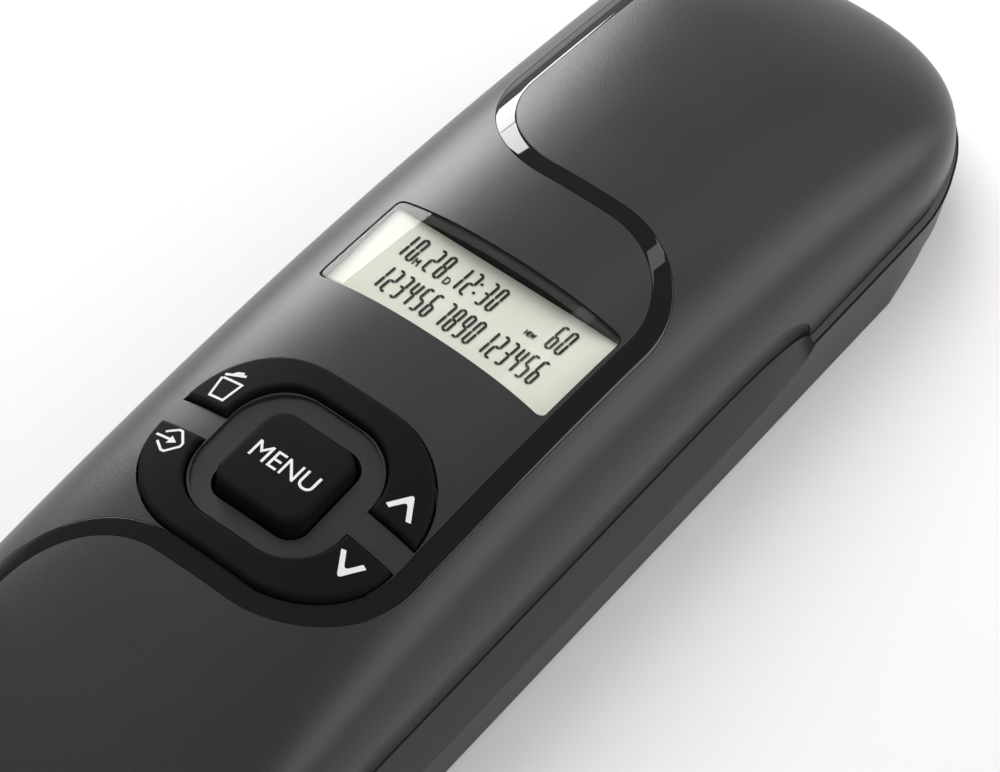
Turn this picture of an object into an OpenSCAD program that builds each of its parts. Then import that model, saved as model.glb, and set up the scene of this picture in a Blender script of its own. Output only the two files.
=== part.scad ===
// Corded desk telephone with an arched handset that lies over a slim base.
// Frame: X across, +Y towards the earpiece end, +Z up, origin on the table under the middle.

/* [Handset shell] */
// Width of the handset at its lower edge
handset_w = 59.6; // [56:0.2:64]
// Length of the handset
handset_len = 221; // [206:1:236]
// Height of the seam between the handset and the base
seam_z = 11.3; // [10.8:0.1:12]
// Height of the top of the arch
crown_z = 37; // [36:0.5:40]
// How far the arch falls from its middle to each end
arch_drop = 18.33; // [16:0.01:19]
// Length of each rounded end
end_depth = 28.5; // [26:0.5:31]
// Fullness of the rounded ends seen from above
end_pow = 2.34; // [2:0.02:2.6]
// Fullness of the crown across the handset
side_pow = 2.245; // [2.1:0.005:2.4]
// Squareness of the shoulders
shoulder_pow = 3.83; // [3.4:0.01:4.2]
// Wall of the back shell
shell_t = 2.2; // [1.8:0.1:2.4]

/* [Display] */
// Width of the display window
lens_w = 39.2; // [36:0.1:39.4]
// Length of the display window
lens_len = 18; // [16:0.1:19]
// Corner radius of the display window
lens_r = 1.2; // [0.8:0.1:2]
// Place of the display window along the handset
lens_y = 17.2; // [16:0.1:18]
// Thickness of the clear lens
lens_t = 1.2; // [1:0.1:1.4]
// Depth of the display glass under the top of the arch
glass_drop = 4.8; // [4.6:0.1:5.2]
// Thickness of the display module
module_t = 2.4; // [2:0.1:2.6]
// Gap round the lens in its window
lens_fit = 0.1; // [0.05:0.05:0.2]

/* [Menu keys] */
// Place of the key pad along the handset
pad_y = -20.9; // [-22:0.1:-20.4]
// Width over the two curved keys
ring_w = 38.8; // [37:0.1:38.9]
// Length over the two curved keys
ring_len = 31.2; // [30:0.1:31.3]
// Outer corner radius of the curved keys
ring_r = 13.6; // [13.2:0.1:14]
// Width of the space inside the curved keys
eye_w = 24.8; // [22.6:0.1:25.2]
// Length of the space inside the curved keys
eye_len = 23; // [22.2:0.1:23.4]
// Corner radius of the space inside the curved keys
eye_r = 8.5; // [7:0.1:10]
// Gap between the upper and the lower curved key
key_gap = 4.8; // [3.6:0.1:5]
// Height of the curved keys above the shell
key_rise = 1; // [0.6:0.1:1.4]
// Depth of the dish round the middle key
dish_drop = 0.7; // [0.4:0.1:1]
// Width of the middle key at its foot
menu_w = 15.2; // [14:0.1:15.6]
// Width of the middle key's face
menu_face = 12.8; // [12:0.1:13.4]
// Height of the middle key above the shell
menu_rise = 1.7; // [1.4:0.1:2.2]
// Radius of the crown of the middle key's face
menu_crown = 95; // [80:1:120]
// Travel of the middle key
menu_travel = 1; // [0.6:0.1:1.2]
// Gap round the menu keys
key_fit = 0.35; // [0.3:0.05:0.4]
// Radius of the pin that a curved key rocks on
rocker_r = 1; // [0.8:0.1:1.2]

/* [Trim band] */
// Width of the gloss band
band_w = 3; // [2.6:0.1:3.2]
// Distance of the band's right run from the middle
band_right = 21.6; // [21.5:0.1:22]
// Distance of the band's left runs from the middle
band_left = 22.4; // [21.8:0.1:23]
// Place of the band's upper crossing along the handset
band_upper_y = 42.7; // [41:0.1:45]
// Distance of the band's lower crossing from the curved keys
band_key_gap = 2.3; // [2.2:0.1:4]
// Radius of the band's bends
band_r = 16; // [15.6:0.1:16.4]
// How far the left runs lean outwards at the ends of the handset
band_lean = 2.3; // [1.5:0.1:3]
// Depth of the band in the shell
band_t = 1; // [0.8:0.1:1.2]
// Gap round the band in its groove
band_fit = 0.1; // [0.05:0.05:0.15]

/* [Finger scoops] */
// Half length of the straight part of a scoop
scoop_flat = 33; // [28:0.5:38]
// Length of each rounded end of a scoop
scoop_end = 24; // [20:0.5:28]
// Height of a scoop above the seam
scoop_up = 9.2; // [7:0.1:9.6]
// Height of a scoop below the seam
scoop_down = 4.9; // [3:0.1:5.2]
// Depth of a scoop in the base's rim
scoop_depth = 2.7; // [2:0.1:2.8]

/* [Handset face] */
// Depth of the face behind the handset's lower edge
face_inset = 2.6; // [2.4:0.1:3]
// Thickness of the face plate
face_t = 2; // [1.8:0.1:2.2]
// Distance of the ear pad's middle from the earpiece end
ear_set = 34.5; // [34:0.5:36.5]
// Radius of the ear pad
ear_r = 19; // [17.5:0.1:19.2]
// Distance of the mouth pad's middle from the mouthpiece end
mouth_set = 32.5; // [30.5:0.5:34.5]
// Radius of the mouth pad
mouth_r = 15; // [14:0.1:16]
// How far the pads stand below the seam
pad_drop = 5; // [4.6:0.1:5.2]
// Wall of the pads
pad_t = 2; // [1.6:0.1:2.2]
// Rounding of the pads' edges
pad_round = 2; // [1.5:0.1:2.2]
// Gap round the face plate in the shell
face_fit = 0.2; // [0.1:0.05:0.3]

/* [Dial keys] */
// Spacing of the dial keys across
dial_px = 15; // [14.6:0.1:15.4]
// Spacing of the dial keys along the handset
dial_py = 12.5; // [12:0.1:13]
// Place of the first row of dial keys
dial_y = 20; // [18:0.1:22]
// Extra space before the row of function keys
dial_step = 3; // [2:0.1:3.5]
// Width of a dial key
dial_w = 11; // [10:0.1:11.6]
// Length of a dial key
dial_len = 8.4; // [7.6:0.1:9]
// Corner radius of a dial key
dial_r = 2.4; // [1.5:0.1:3]
// How far a dial key stands out of the face
dial_rise = 1.6; // [1.2:0.1:1.8]
// Travel of a dial key
dial_travel = 1.2; // [0.8:0.1:1.4]
// Width of the flange that keeps a dial key in
dial_flange = 0.9; // [0.7:0.1:1]
// Gap round a dial key
dial_fit = 0.3; // [0.2:0.05:0.4]
// Radius of the crown of a dial key's face
dial_crown = 30; // [24:1:40]

/* [Base] */
// How far the base's rim stands out round the handset
ledge_w = 1.2; // [1:0.1:1.6]
// Draft of the base's long sides
side_draft = 0.4; // [0.2:0.1:0.6]
// Draft of the base's rounded ends
end_draft = 2.4; // [1.8:0.1:2.8]
// Wall of the base
base_wall = 2.2; // [2.2:0.1:2.6]
// Thickness of the deck under the handset
deck_t = 2; // [1.8:0.1:2.2]
// Gap between the handset's edge and the deck
seam_gap = 0.3; // [0.2:0.05:0.4]
// Thickness of the bottom plate
plate_t = 1.6; // [1.4:0.1:1.8]
// Gap round the bottom plate
plate_fit = 0.2; // [0.1:0.05:0.3]
// Gap round the pads in their wells
well_fit = 0.8; // [0.6:0.1:1]
// Wall of the wells
well_t = 1.4; // [1.2:0.1:1.6]
// Height of the rubber feet
foot_h = 1; // [0.8:0.1:1.2]
// Radius of the rubber feet
foot_r = 5; // [4:0.1:6]
// Spacing of the wall-hanging keyholes
keyhole_pitch = 80; // [76:1:84]
// Radius of a keyhole's round end
keyhole_r = 4.2; // [3.8:0.1:4.6]
// Width of a keyhole's slot
keyhole_slot = 4.2; // [3.6:0.1:4.6]
// Length of a keyhole's slot
keyhole_len = 8; // [7:0.1:9]

/* [Hook] */
// Place of the hook plunger across
hook_x = 14; // [13:0.1:15]
// Place of the hook plunger along the base
hook_y = 38; // [37:0.1:39]
// Radius of the hook plunger
hook_r = 3; // [2.6:0.1:3.2]
// Travel of the hook plunger
hook_travel = 2.4; // [2:0.1:2.6]
// Gap round the hook plunger
hook_fit = 0.1; // [0.05:0.01:0.12]

/* [Jacks] */
// Width of a handset cord socket
cord_socket_w = 7.8; // [7.6:0.1:8]
// Width of the line cord socket
line_socket_w = 9.8; // [9.6:0.1:10]
// Height of a socket
socket_h = 6; // [5.8:0.1:6.2]
// Depth of a socket
socket_d = 9.6; // [9:0.1:10]
// Side wall of a jack
jack_side = 0.9; // [0.8:0.1:1]
// Upper and lower wall of a jack
jack_t = 0.6; // [0.5:0.1:0.7]
// Back wall of a jack
jack_back = 1.4; // [1:0.1:1.6]

/* [Fasteners] */
// Radius of the screws
screw_r = 1.2; // [1:0.1:1.4]
// Radius of the screw heads
screw_head_r = 2.3; // [2.1:0.1:2.4]
// Height of the screw heads
screw_head_h = 1; // [0.8:0.1:1.2]
// Gap round a screw in its boss
screw_fit = 0.05; // [0.02:0.01:0.1]
// Length of the screws with their heads
screw_len = 5; // [4.5:0.1:5.4]
// Radius of the screw bosses
boss_r = 3; // [2.8:0.1:3.4]

/* [Hidden] */
$fn = 32;
DIAL = ["key_1", "key_2", "key_3", "key_4", "key_5", "key_6", "key_7", "key_8", "key_9",
    "key_star", "key_0", "key_hash", "flash_key", "mute_key", "redial_key"];

// Clearance between pieces that don't move, and overlap of forms that grow together
gap = 0.2;
bite = 0.4;

// Plan and section of the shell
half_w = handset_w / 2;
straight_y = handset_len / 2 - end_depth;
arch_r = pow(handset_len, 2) / (8 * arch_drop);
straight_steps = 10;
end_steps = [0.3, 0.55, 0.74, 0.87, 0.95, 0.993];
above = crown_z + 10;

// Levels of the handset, from its edge upwards
face_z = seam_z + face_inset;
face_top = face_z + face_t;
pad_z = seam_z - pad_drop;
ear_y = handset_len / 2 - ear_set;
mouth_y = mouth_set - handset_len / 2;
pad_floor = pad_z + pad_t;
flange_t = 0.8;
flange_gap = 0.1;
board_t = 1.6;
keymat_t = 1.4;
dial_mat_z = face_top + flange_gap + flange_t + dial_travel + gap;
dial_board_z = dial_mat_z + keymat_t;

// Levels of the display stack, from the glass downwards
glass_z = crown_z - glass_drop;
glass_t = 1.1;
module_z = glass_z - module_t;
rib_h = 2.2;
frame_t = 1.2;
frame_top = module_z - rib_h;
frame_z = frame_top - frame_t;

// Display pocket, and the ribs that carry the display
pocket_t = 0.7;
pocket_w = lens_w - 2 * bite;
pocket_len = lens_len - 2 * bite;
module_w = pocket_w - 2 * pocket_t - gap;
module_len = pocket_len - 2 * pocket_t - gap;
module_r = 0.6;
rib_x = 14;
rib_w = 2;
frame_w = 44;
frame_margin = [3, 5.3];
frame_y = [pad_y - ring_len / 2 - frame_margin[0], lens_y + lens_len / 2 + frame_margin[1]];
wire_hole_r = 4;

// Rocking pins of the curved keys and the saddles that carry them
pin_y = (ring_len + eye_len) / 4;
pin_len = 3.6;
neck_w = 1.6;
rocker_z = frame_top + 2;
rocker_key_z = rocker_z + 0.8;
saddle_w = 4.8;
saddle_len = 4.4;
menu_mat_t = 0.6;

// Middle key
menu_top = crown_z + menu_rise - pad_y * pad_y / (2 * arch_r);
menu_r = 2.4;
menu_face_r = 2;
menu_foot_h = 3;
menu_flange = 1.1;
menu_flange_z = frame_top + 4;
menu_stem_w = 8;
menu_stem_z = frame_top + menu_mat_t + menu_travel + gap;
dish_edge = 0.5;

// Levels of the base
deck_z = seam_z - seam_gap;
deck_under = deck_z - deck_t;
plate_top = foot_h + plate_t;
well_gap = 0.5;
well_z = pad_z - well_gap;
base_board_z = plate_top + board_t;
rim_bevel = 0.4;
draft_h = 4;

// Jacks, and the pocket of the handset's jack in the notch of the base
jack_h = socket_h + 2 * jack_t;
jack_drop = 2.8;
socket_z = seam_z - jack_drop;
jack_box_w = cord_socket_w + 2 * jack_side;
jack_set = 0.9;
jack_front = -handset_len / 2 + jack_set;
jack_cut = 13;
jack_side_wall = 1.3;
jack_floor_t = 1;
jack_floor_z = socket_z - jack_t - jack_floor_t;
pad_lap = 3;
plug_room = 8;
notch_z = jack_floor_z - gap;
notch_half = jack_box_w / 2 + jack_side_wall + well_fit;
base_jack_back = 10;
base_jack_at = [-half_w - ledge_w + base_wall + gap, mouth_y + base_jack_back];
line_jack_y = handset_len / 2 + ledge_w - base_wall - gap;

// Capsules
speaker_r = ear_r - pad_t - gap;
speaker_h = [2, 4.5, 6];
speaker_step = 2;
magnet_r = 6;
cone_drop = 0.6;
ear_hole_r = 1;
ear_hole_ring = 6;
mic_r = 4.8;
mic_h = 4;
mic_hole_r = 0.9;
boot_t = 1.4;
boot_lip = 0.5;

// Hook plunger, from its head down to its switch
hook_room = 0.3;
hook_top = face_z - hook_room;
hook_dome_r = 8;
collar_r = hook_r + 3;
collar_z = deck_z + 0.9;
hook_flange_t = 0.8;
hook_flange_r = hook_r + 1.4;
hook_flange_z = deck_z - hook_travel - flange_gap - hook_flange_t;
hook_stem_r = 1.6;
switch_w = 10;
switch_z = base_board_z + board_t;
switch_h = hook_flange_z - switch_z - hook_room;

// Pieces on the bottom plate
base_board_w = 18;
base_board_x = hook_x + 2;
base_board_y = [-42, 45];
ringer_at = [-15, -8];
ringer_r = 11;
ringer_rim = 1.5;
ringer_h = [1, 3];
weight_x = -16;
weight_y = 27;
weight_w = 18;
weight_len = 34;
weight_t = 2.5;
keyhole_shift = 5;

// Places of screws, posts and feet
screw_room = 0.3;
screw_tip = 0.5;
slot_len = 2.6;
slot_w = 0.6;
slot_d = 0.5;
post_r = 2;
handset_screw_in_x = 15.8;
handset_screw_in_y = 15.5;
handset_screw_x = half_w - handset_screw_in_x;
handset_screw_y = handset_len / 2 - handset_screw_in_y;
handset_screw_at = [for (x = [-1, 1], y = [-1, 1]) [x * handset_screw_x, y * handset_screw_y]];
base_screw_x = half_w - 7.8;
base_screw_y = base_board_y[1] + 5;
base_screw_at = [for (x = [-1, 1], y = [-1, 1]) [x * base_screw_x, y * base_screw_y]];
foot_x = base_screw_x - 2;
foot_y = base_screw_y + 12;
foot_at = [for (x = [-1, 1], y = [-1, 1]) [x * foot_x, y * foot_y]];
dial_post_x = dial_px + 5;
dial_post_out = 10;
dial_post_edge = 2.5;
dial_mat_over = 1.4;
dial_post_at = [for (x = [-1, 1], y = [dial_row_y(4) - dial_post_out, dial_y + dial_post_out])
    [x * dial_post_x, y]];
frame_post_in = 2.5;
frame_post_x = frame_w / 2 - frame_post_in;
frame_post_at = [for (x = [-1, 1], y = [frame_y[0] + frame_post_in, frame_y[1] - frame_post_in])
    [x * frame_post_x, y]];
board_post_x = 6.5;
board_post_in = 3;
board_post_back = 17;
board_post_at = [for (x = [-1, 1], y = [base_board_y[0] + board_post_in, base_board_y[1] - board_post_back])
    [base_board_x + x * board_post_x, y]];

// Share of the rounded end passed at y, for a shell that lies t inside the outer one
function end_share(y, t) = max(abs(y) - straight_y, 0) / (end_depth - t);
// Half width of the shell's plan at y
function plan_half(y, t) = (half_w - t) * pow(max(1 - pow(end_share(y, t), end_pow), 0), 1 / end_pow);
// Distance from the middle line, 0, to the edge of the plan, 1
function reach(x, y, t) =
    pow(pow(abs(x) / (half_w - t), end_pow) + pow(end_share(y, t), end_pow), 1 / end_pow);
// Height of the arch over the seam
function rise(y, t) = crown_z - t - y * y / (2 * arch_r) - seam_z;
// Height of the shell's surface
function top_z(x, y, t) =
    seam_z + rise(y, t) * pow(max(1 - pow(reach(x, y, t), side_pow), 0), 1 / shoulder_pow);
function stations(t) = concat(
    [for (i = [len(end_steps) - 1:-1:0]) -straight_y - end_steps[i] * (end_depth - t)],
    [for (i = [0:straight_steps]) straight_y * (2 * i / straight_steps - 1)],
    [for (v = end_steps) straight_y + v * (end_depth - t)]);
function section(y, t, low, n) = concat(
    [for (i = [-n:n]) let (x = plan_half(y, t) * sin(90 * i / n)) [x, y, top_z(x, y, t)]],
    [[plan_half(y, t), y, low], [-plan_half(y, t), y, low]]);
// Plan of the shell, moved in by t at its sides and by e at its ends
function outline(t, e, n = 9) = let (
    quarter = [for (i = [0:n]) [cos(90 * i / n), sin(90 * i / n)]],
    ring = concat(quarter, [for (i = [n:-1:0]) [-quarter[i][0], quarter[i][1]]]),
    upper = [for (p = ring) [(half_w - t) * sign(p[0]) * pow(abs(p[0]), 2 / end_pow),
        straight_y + (end_depth - e) * pow(p[1], 2 / end_pow)]])
    concat(upper, [for (i = [len(upper) - 1:-1:0]) [upper[i][0], -upper[i][1]]]);

// Insets of the face plate's sides and ends, where the inside of the shell curves down to the plate
face_side = shell_t + face_fit + 0.45;
face_rise = (face_top - seam_z) / rise(handset_len / 2 - 5, shell_t);
face_end = end_depth + 2 * face_fit
    - (end_depth - shell_t) * pow(1 - pow(face_rise, shoulder_pow), 1 / side_pow);

function dial_row_y(row) = dial_y - row * dial_py - (row > 3 ? dial_step : 0);
// The face looks down, so the first column lies at +X
function dial_at(i) = [(1 - i % 3) * dial_px, dial_row_y(floor(i / 3))];

// Solid between two neighbouring sections
module slice(near, far) {
    hull() polyhedron(concat(near, far), [[for (i = [0:len(near) + len(far) - 1]) i]]);
}

// Solid under the shell's surface moved in by t, down to the level low
module dome(t, low, n = 10) {
    ys = stations(t);
    for (i = [0:len(ys) - 2]) slice(section(ys[i], t, low, n), section(ys[i + 1], t, low, n));
}

module round_rect(w, l, r) {
    square([w - 2 * r, l], center = true);
    square([w, l - 2 * r], center = true);
    for (x = [-1, 1], y = [-1, 1]) translate([x * (w / 2 - r), y * (l / 2 - r)]) circle(r);
}

module at(places, z = 0) {
    for (p = places) translate([p[0], p[1], z]) children();
}

// Finger scoop on the right side, across the seam
scoop_rim = half_w + ledge_w + gap / 2;
scoop_out = 4;
scoop_lower_pow = 1.5;
scoop_upper_pow = 1.2;
scoop_tip_pow = 2.4;
function scoop_share(y) =
    pow(max(1 - pow(max(abs(y) - scoop_flat, 0) / scoop_end, scoop_tip_pow), 0), 1 / scoop_tip_pow);
function scoop_section(y) = let (
    f = scoop_share(y),
    deep = scoop_rim - f * scoop_depth,
    lean = max(half_w - gap - deep, bite),
    n = 6)
    concat(
        [for (i = [n:-1:1])
            [deep + (scoop_rim - deep) * pow(i / n, scoop_lower_pow), y, seam_z - scoop_down * f * i / n]],
        [for (i = [0:n]) [deep + lean * pow(i / n, scoop_upper_pow), y, seam_z + scoop_up * f * i / n]],
        [[scoop_rim + scoop_out, y, seam_z + scoop_up * f],
            [scoop_rim + scoop_out, y, seam_z - scoop_down * f]]);
module scoop() {
    n = 8;
    shares = [for (i = [0:n]) sin(88 * i / n)];
    ys = concat([for (i = [n:-1:0]) -scoop_flat - scoop_end * shares[i]],
        [for (s = shares) scoop_flat + scoop_end * s]);
    for (i = [0:len(ys) - 2]) slice(scoop_section(ys[i]), scoop_section(ys[i + 1]));
}
module scoops() {
    scoop();
    mirror([1, 0, 0]) scoop();
}

// Middle line of the trim band, as points with the angle of the band's left-hand edge
band_lower_y = pad_y - ring_len / 2 - band_key_gap;
band_over = 2;
function bend(c, from, to, turn) = let (n = 10)
    [for (i = [0:n]) let (t = from + (to - from) * i / n)
        [c[0] + band_r * cos(t), c[1] + band_r * sin(t), t + turn]];
band_path = concat(
    [[-band_left - band_lean, handset_len / 2 + band_over, 0]],
    bend([band_r - band_left, band_upper_y + band_r], 180, 270, 180),
    bend([band_right - band_r, band_upper_y - band_r], 90, 0, 0),
    bend([band_right - band_r, band_lower_y + band_r], 0, -90, 0),
    bend([band_r - band_left, band_lower_y - band_r], 90, 180, -180),
    [[-band_left - band_lean, -handset_len / 2 - band_over, 0]]);
function band_edge(p, d) = [p[0] + d * cos(p[2]), p[1] + d * sin(p[2])];
module band_2d(w) {
    n = len(band_path);
    polygon(concat([for (p = band_path) band_edge(p, w / 2)],
        [for (i = [n - 1:-1:0]) band_edge(band_path[i], -w / 2)]));
}

// Outline of a curved key, upper (side 1) or lower (side -1), grown by g
module curved_key_2d(side, g) {
    intersection() {
        difference() {
            round_rect(ring_w + 2 * g, ring_len + 2 * g, ring_r + g);
            round_rect(eye_w - 2 * g, eye_len - 2 * g, eye_r - g);
        }
        translate([0, side * (key_gap / 2 - g + ring_len / 2)]) square([ring_w + 2, ring_len], center = true);
    }
}

// Arched back shell with its window, key openings, band groove and scoops
module handset_back() {
    color("dimgray") {
        difference() {
            dome(0, seam_z);
            dome(shell_t, seam_z - 1, 6);
            translate([0, lens_y, seam_z + 1]) linear_extrude(above) round_rect(lens_w, lens_len, lens_r);
            translate([0, pad_y, seam_z + 1]) {
                for (s = [-1, 1]) linear_extrude(above) curved_key_2d(s, key_fit);
                linear_extrude(above) round_rect(menu_w + 2 * key_fit, menu_w + 2 * key_fit, menu_r + gap);
            }
            difference() {
                translate([0, pad_y, seam_z]) linear_extrude(above)
                    round_rect(eye_w - 2 * dish_edge, eye_len - 2 * dish_edge, eye_r);
                dome(dish_drop, seam_z - 1, 6);
            }
            difference() {
                linear_extrude(above) band_2d(band_w);
                dome(band_t + band_fit, seam_z - 1);
            }
            scoops();
            translate([-jack_box_w / 2 - gap, -handset_len / 2 - 1, seam_z - 1])
                cube([jack_box_w + 2 * gap, jack_cut, socket_z - jack_t + jack_h + gap - seam_z + 1]);
        }
        intersection() {
            dome(shell_t / 2, seam_z, 4);
            union() {
                difference() {
                    at(handset_screw_at, face_top) cylinder(r = boss_r, h = above);
                    at(handset_screw_at) cylinder(r = screw_r + screw_fit, h = face_z + screw_len + screw_tip);
                }
                at(frame_post_at, frame_top) cylinder(r = post_r, h = above);
            }
        }
    }
}

// Gloss band let into the shell
module trim_band() {
    color("black") difference() {
        intersection() {
            dome(0, seam_z);
            linear_extrude(above) band_2d(band_w - 2 * band_fit);
        }
        dome(band_t, seam_z - 1);
    }
}

// Clear lens that follows the crown
module display_lens() {
    color("lightcyan") difference() {
        intersection() {
            dome(0, seam_z);
            translate([0, lens_y, seam_z]) linear_extrude(above)
                round_rect(lens_w - 2 * lens_fit, lens_len - 2 * lens_fit, lens_r - lens_fit);
        }
        dome(lens_t, seam_z - 1, 8);
    }
}

// Display glass on its backing
module display_module() {
    color("honeydew") translate([0, lens_y, module_z]) {
        translate([0, 0, module_t - glass_t]) linear_extrude(glass_t) round_rect(module_w, module_len, module_r);
        linear_extrude(module_t - glass_t) round_rect(module_w - 1, module_len - 1, module_r);
    }
}

// Chassis under the shell: pocket and ribs for the display
module display_frame() {
    color("#222222") {
        difference() {
            translate([-frame_w / 2, frame_y[0], frame_z]) cube([frame_w, frame_y[1] - frame_y[0], frame_t]);
            translate([0, pad_y, frame_z - 1]) cylinder(r = wire_hole_r, h = frame_t + 2);
        }
        intersection() {
            dome(lens_t + gap / 2, seam_z, 8);
            translate([0, lens_y, frame_top - bite]) difference() {
                linear_extrude(above) round_rect(pocket_w, pocket_len, lens_r);
                translate([0, 0, -1]) linear_extrude(above + 2)
                    round_rect(pocket_w - 2 * pocket_t, pocket_len - 2 * pocket_t, module_r);
            }
        }
        for (x = [-rib_x, rib_x])
            translate([x - rib_w / 2, lens_y - (pocket_len - pocket_t) / 2, frame_top - bite])
                cube([rib_w, pocket_len - pocket_t, rib_h + bite]);
    }
}

// Two bearings on the chassis, with saddles for the curved keys' pins
module rocker_bearings() {
    color("#303030") for (s = [-1, 1]) translate([0, pad_y + s * pin_y, 0]) difference() {
        translate([-saddle_w / 2, -saddle_len / 2, frame_top])
            cube([saddle_w, saddle_len, rocker_z - frame_top - gap]);
        translate([0, saddle_len, rocker_z]) rotate([90, 0, 0])
            cylinder(r = rocker_r + gap / 2, h = 2 * saddle_len);
    }
}

// Circuit board behind the display and the menu keys
module display_board() {
    color("darkgreen") translate([0, (frame_y[0] + frame_y[1]) / 2, frame_z - board_t])
        linear_extrude(board_t) round_rect(frame_w - 2, frame_y[1] - frame_y[0] - 2, 2);
}

// Rubber mat under the menu keys
module menu_keymat() {
    color("gainsboro") translate([0, pad_y, frame_top]) difference() {
        linear_extrude(menu_mat_t) round_rect(ring_w, ring_len - 2 * gap, ring_r - 4);
        for (s = [-1, 1]) translate([0, s * pin_y, -1]) linear_extrude(menu_mat_t + 2)
            square([saddle_w + 3 * gap, saddle_len + 3 * gap], center = true);
    }
}

// Square middle key with tapered sides, a crowned face, a flange and a stem
module menu_key() {
    color("#1c1c1c") translate([0, pad_y, 0]) {
        intersection() {
            hull() {
                translate([0, 0, menu_flange_z]) linear_extrude(menu_foot_h)
                    round_rect(menu_w, menu_w, menu_r);
                translate([0, 0, menu_top]) linear_extrude(1) round_rect(menu_face, menu_face, menu_face_r);
            }
            translate([0, menu_w, menu_top - menu_crown]) rotate([90, 0, 0])
                cylinder(r = menu_crown, h = 2 * menu_w, $fn = 240);
        }
        translate([0, 0, menu_flange_z]) linear_extrude(flange_t)
            round_rect(menu_w + 2 * menu_flange, menu_w + 2 * menu_flange, menu_r);
        translate([0, 0, menu_stem_z]) linear_extrude(menu_flange_z + gap - menu_stem_z)
            round_rect(menu_stem_w, menu_stem_w, menu_face_r);
    }
}

// Curved rocker key with its pin
module curved_key(side) {
    color("#1c1c1c") translate([0, pad_y, 0]) {
        intersection() {
            translate([0, -pad_y, 0]) dome(-key_rise, seam_z);
            translate([0, 0, rocker_key_z]) linear_extrude(above) curved_key_2d(side, 0);
        }
        translate([0, side * pin_y, rocker_z]) {
            translate([-neck_w / 2, -pin_len / 2, 0]) cube([neck_w, pin_len, rocker_key_z - rocker_z + bite]);
            translate([0, pin_len / 2, 0]) rotate([90, 0, 0]) cylinder(r = rocker_r, h = pin_len);
        }
    }
}
module upper_menu_key() {
    curved_key(1);
}
module lower_menu_key() {
    curved_key(-1);
}

// Round pad on the face: profile turned about the pad's axis
module pad(r, low) {
    n = 6;
    rotate_extrude() polygon(concat([[0, low]],
        [for (i = [0:n]) let (a = 90 * i / n)
            [r - pad_round + pad_round * sin(a), low + pad_round - pad_round * cos(a)]],
        [[r, face_top], [0, face_top]]));
}

// Block round the cord jack, from y0 to the mouth pad and up to the level z1
module jack_pocket(y0, z1) {
    translate([-jack_box_w / 2 - jack_side_wall, y0, jack_floor_z])
        cube([jack_box_w + 2 * jack_side_wall, mouth_y - mouth_r + pad_lap - y0, z1 - jack_floor_z]);
}

// Face of the handset: key openings, ear and mouth pads, cord jack pocket
module handset_front() {
    color("dimgray") difference() {
        union() {
            translate([0, 0, face_z]) linear_extrude(face_t) polygon(outline(face_side, face_end));
            translate([0, ear_y, 0]) pad(ear_r, pad_z);
            translate([0, mouth_y, 0]) pad(mouth_r, pad_z);
            jack_pocket(jack_front, seam_z - gap);
            jack_pocket(jack_front + face_end, face_z + gap / 2);
            at(dial_post_at, face_z) cylinder(r = post_r, h = dial_board_z - face_z);
        }
        for (i = [0:len(DIAL) - 1]) translate([dial_at(i)[0], dial_at(i)[1], face_z - 1])
            linear_extrude(face_t + 2)
                round_rect(dial_w + 2 * dial_fit, dial_len + 2 * dial_fit, dial_r + dial_fit);
        translate([0, ear_y, pad_floor]) cylinder(r = ear_r - pad_t, h = above);
        translate([0, mouth_y, pad_floor]) cylinder(r = mouth_r - pad_t, h = above);
        translate([0, ear_y, 0]) for (i = [0:6]) rotate(i * 60)
            translate([i == 6 ? 0 : ear_hole_ring, 0, 0]) cylinder(r = ear_hole_r, h = pad_floor + 1);
        translate([0, mouth_y, 0]) cylinder(r = mic_hole_r, h = pad_floor + 1);
        translate([-jack_box_w / 2 - gap / 2, jack_front - 1, socket_z - jack_t])
            cube([jack_box_w + gap, socket_d + jack_back + 1 + gap / 2, above]);
        at(handset_screw_at) cylinder(r = screw_r + screw_room, h = above);
        at(handset_screw_at) cylinder(r = screw_head_r + gap, h = face_z + screw_head_h);
    }
}

// Dial key with a crowned face and a flange behind the face plate
module dial_key(i) {
    color("#2a2a2a") translate([dial_at(i)[0], dial_at(i)[1], 0]) {
        intersection() {
            translate([0, 0, face_z - dial_rise]) linear_extrude(dial_rise + face_t + flange_gap)
                round_rect(dial_w, dial_len, dial_r);
            translate([0, dial_len, face_z - dial_rise + dial_crown]) rotate([90, 0, 0])
                cylinder(r = dial_crown, h = 2 * dial_len);
        }
        translate([0, 0, face_top + flange_gap]) linear_extrude(flange_t)
            round_rect(dial_w + 2 * dial_flange, dial_len + 2 * dial_flange, dial_r);
    }
}

// Rubber mat behind the dial keys
module dial_keymat() {
    color("gainsboro") translate([0, (dial_y + dial_row_y(4)) / 2, dial_mat_z])
        linear_extrude(keymat_t) round_rect(2 * dial_px + dial_w + 2 * dial_mat_over,
            dial_y - dial_row_y(4) + dial_len + 2 * dial_mat_over, 2);
}

// Circuit board of the dial keys, on four posts
module dial_board() {
    color("darkgreen") translate([0, (dial_y + dial_row_y(4)) / 2, dial_board_z])
        linear_extrude(board_t) round_rect(2 * (dial_post_x + dial_post_edge),
            dial_y - dial_row_y(4) + 2 * (dial_post_out + dial_post_edge), 2);
}

// Receiver capsule in the ear pad
module ear_speaker() {
    color("silver") translate([0, ear_y, pad_floor]) difference() {
        union() {
            cylinder(r = speaker_r, h = speaker_h[0]);
            cylinder(r = speaker_r - speaker_step, h = speaker_h[1]);
            cylinder(r = magnet_r, h = speaker_h[2]);
        }
        translate([0, 0, -1]) cylinder(r = speaker_r - 2 * speaker_step, h = cone_drop + 1);
    }
}

// Electret capsule
module microphone() {
    color("silver") translate([0, mouth_y, pad_floor + boot_t]) cylinder(r = mic_r, h = mic_h);
}

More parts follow.
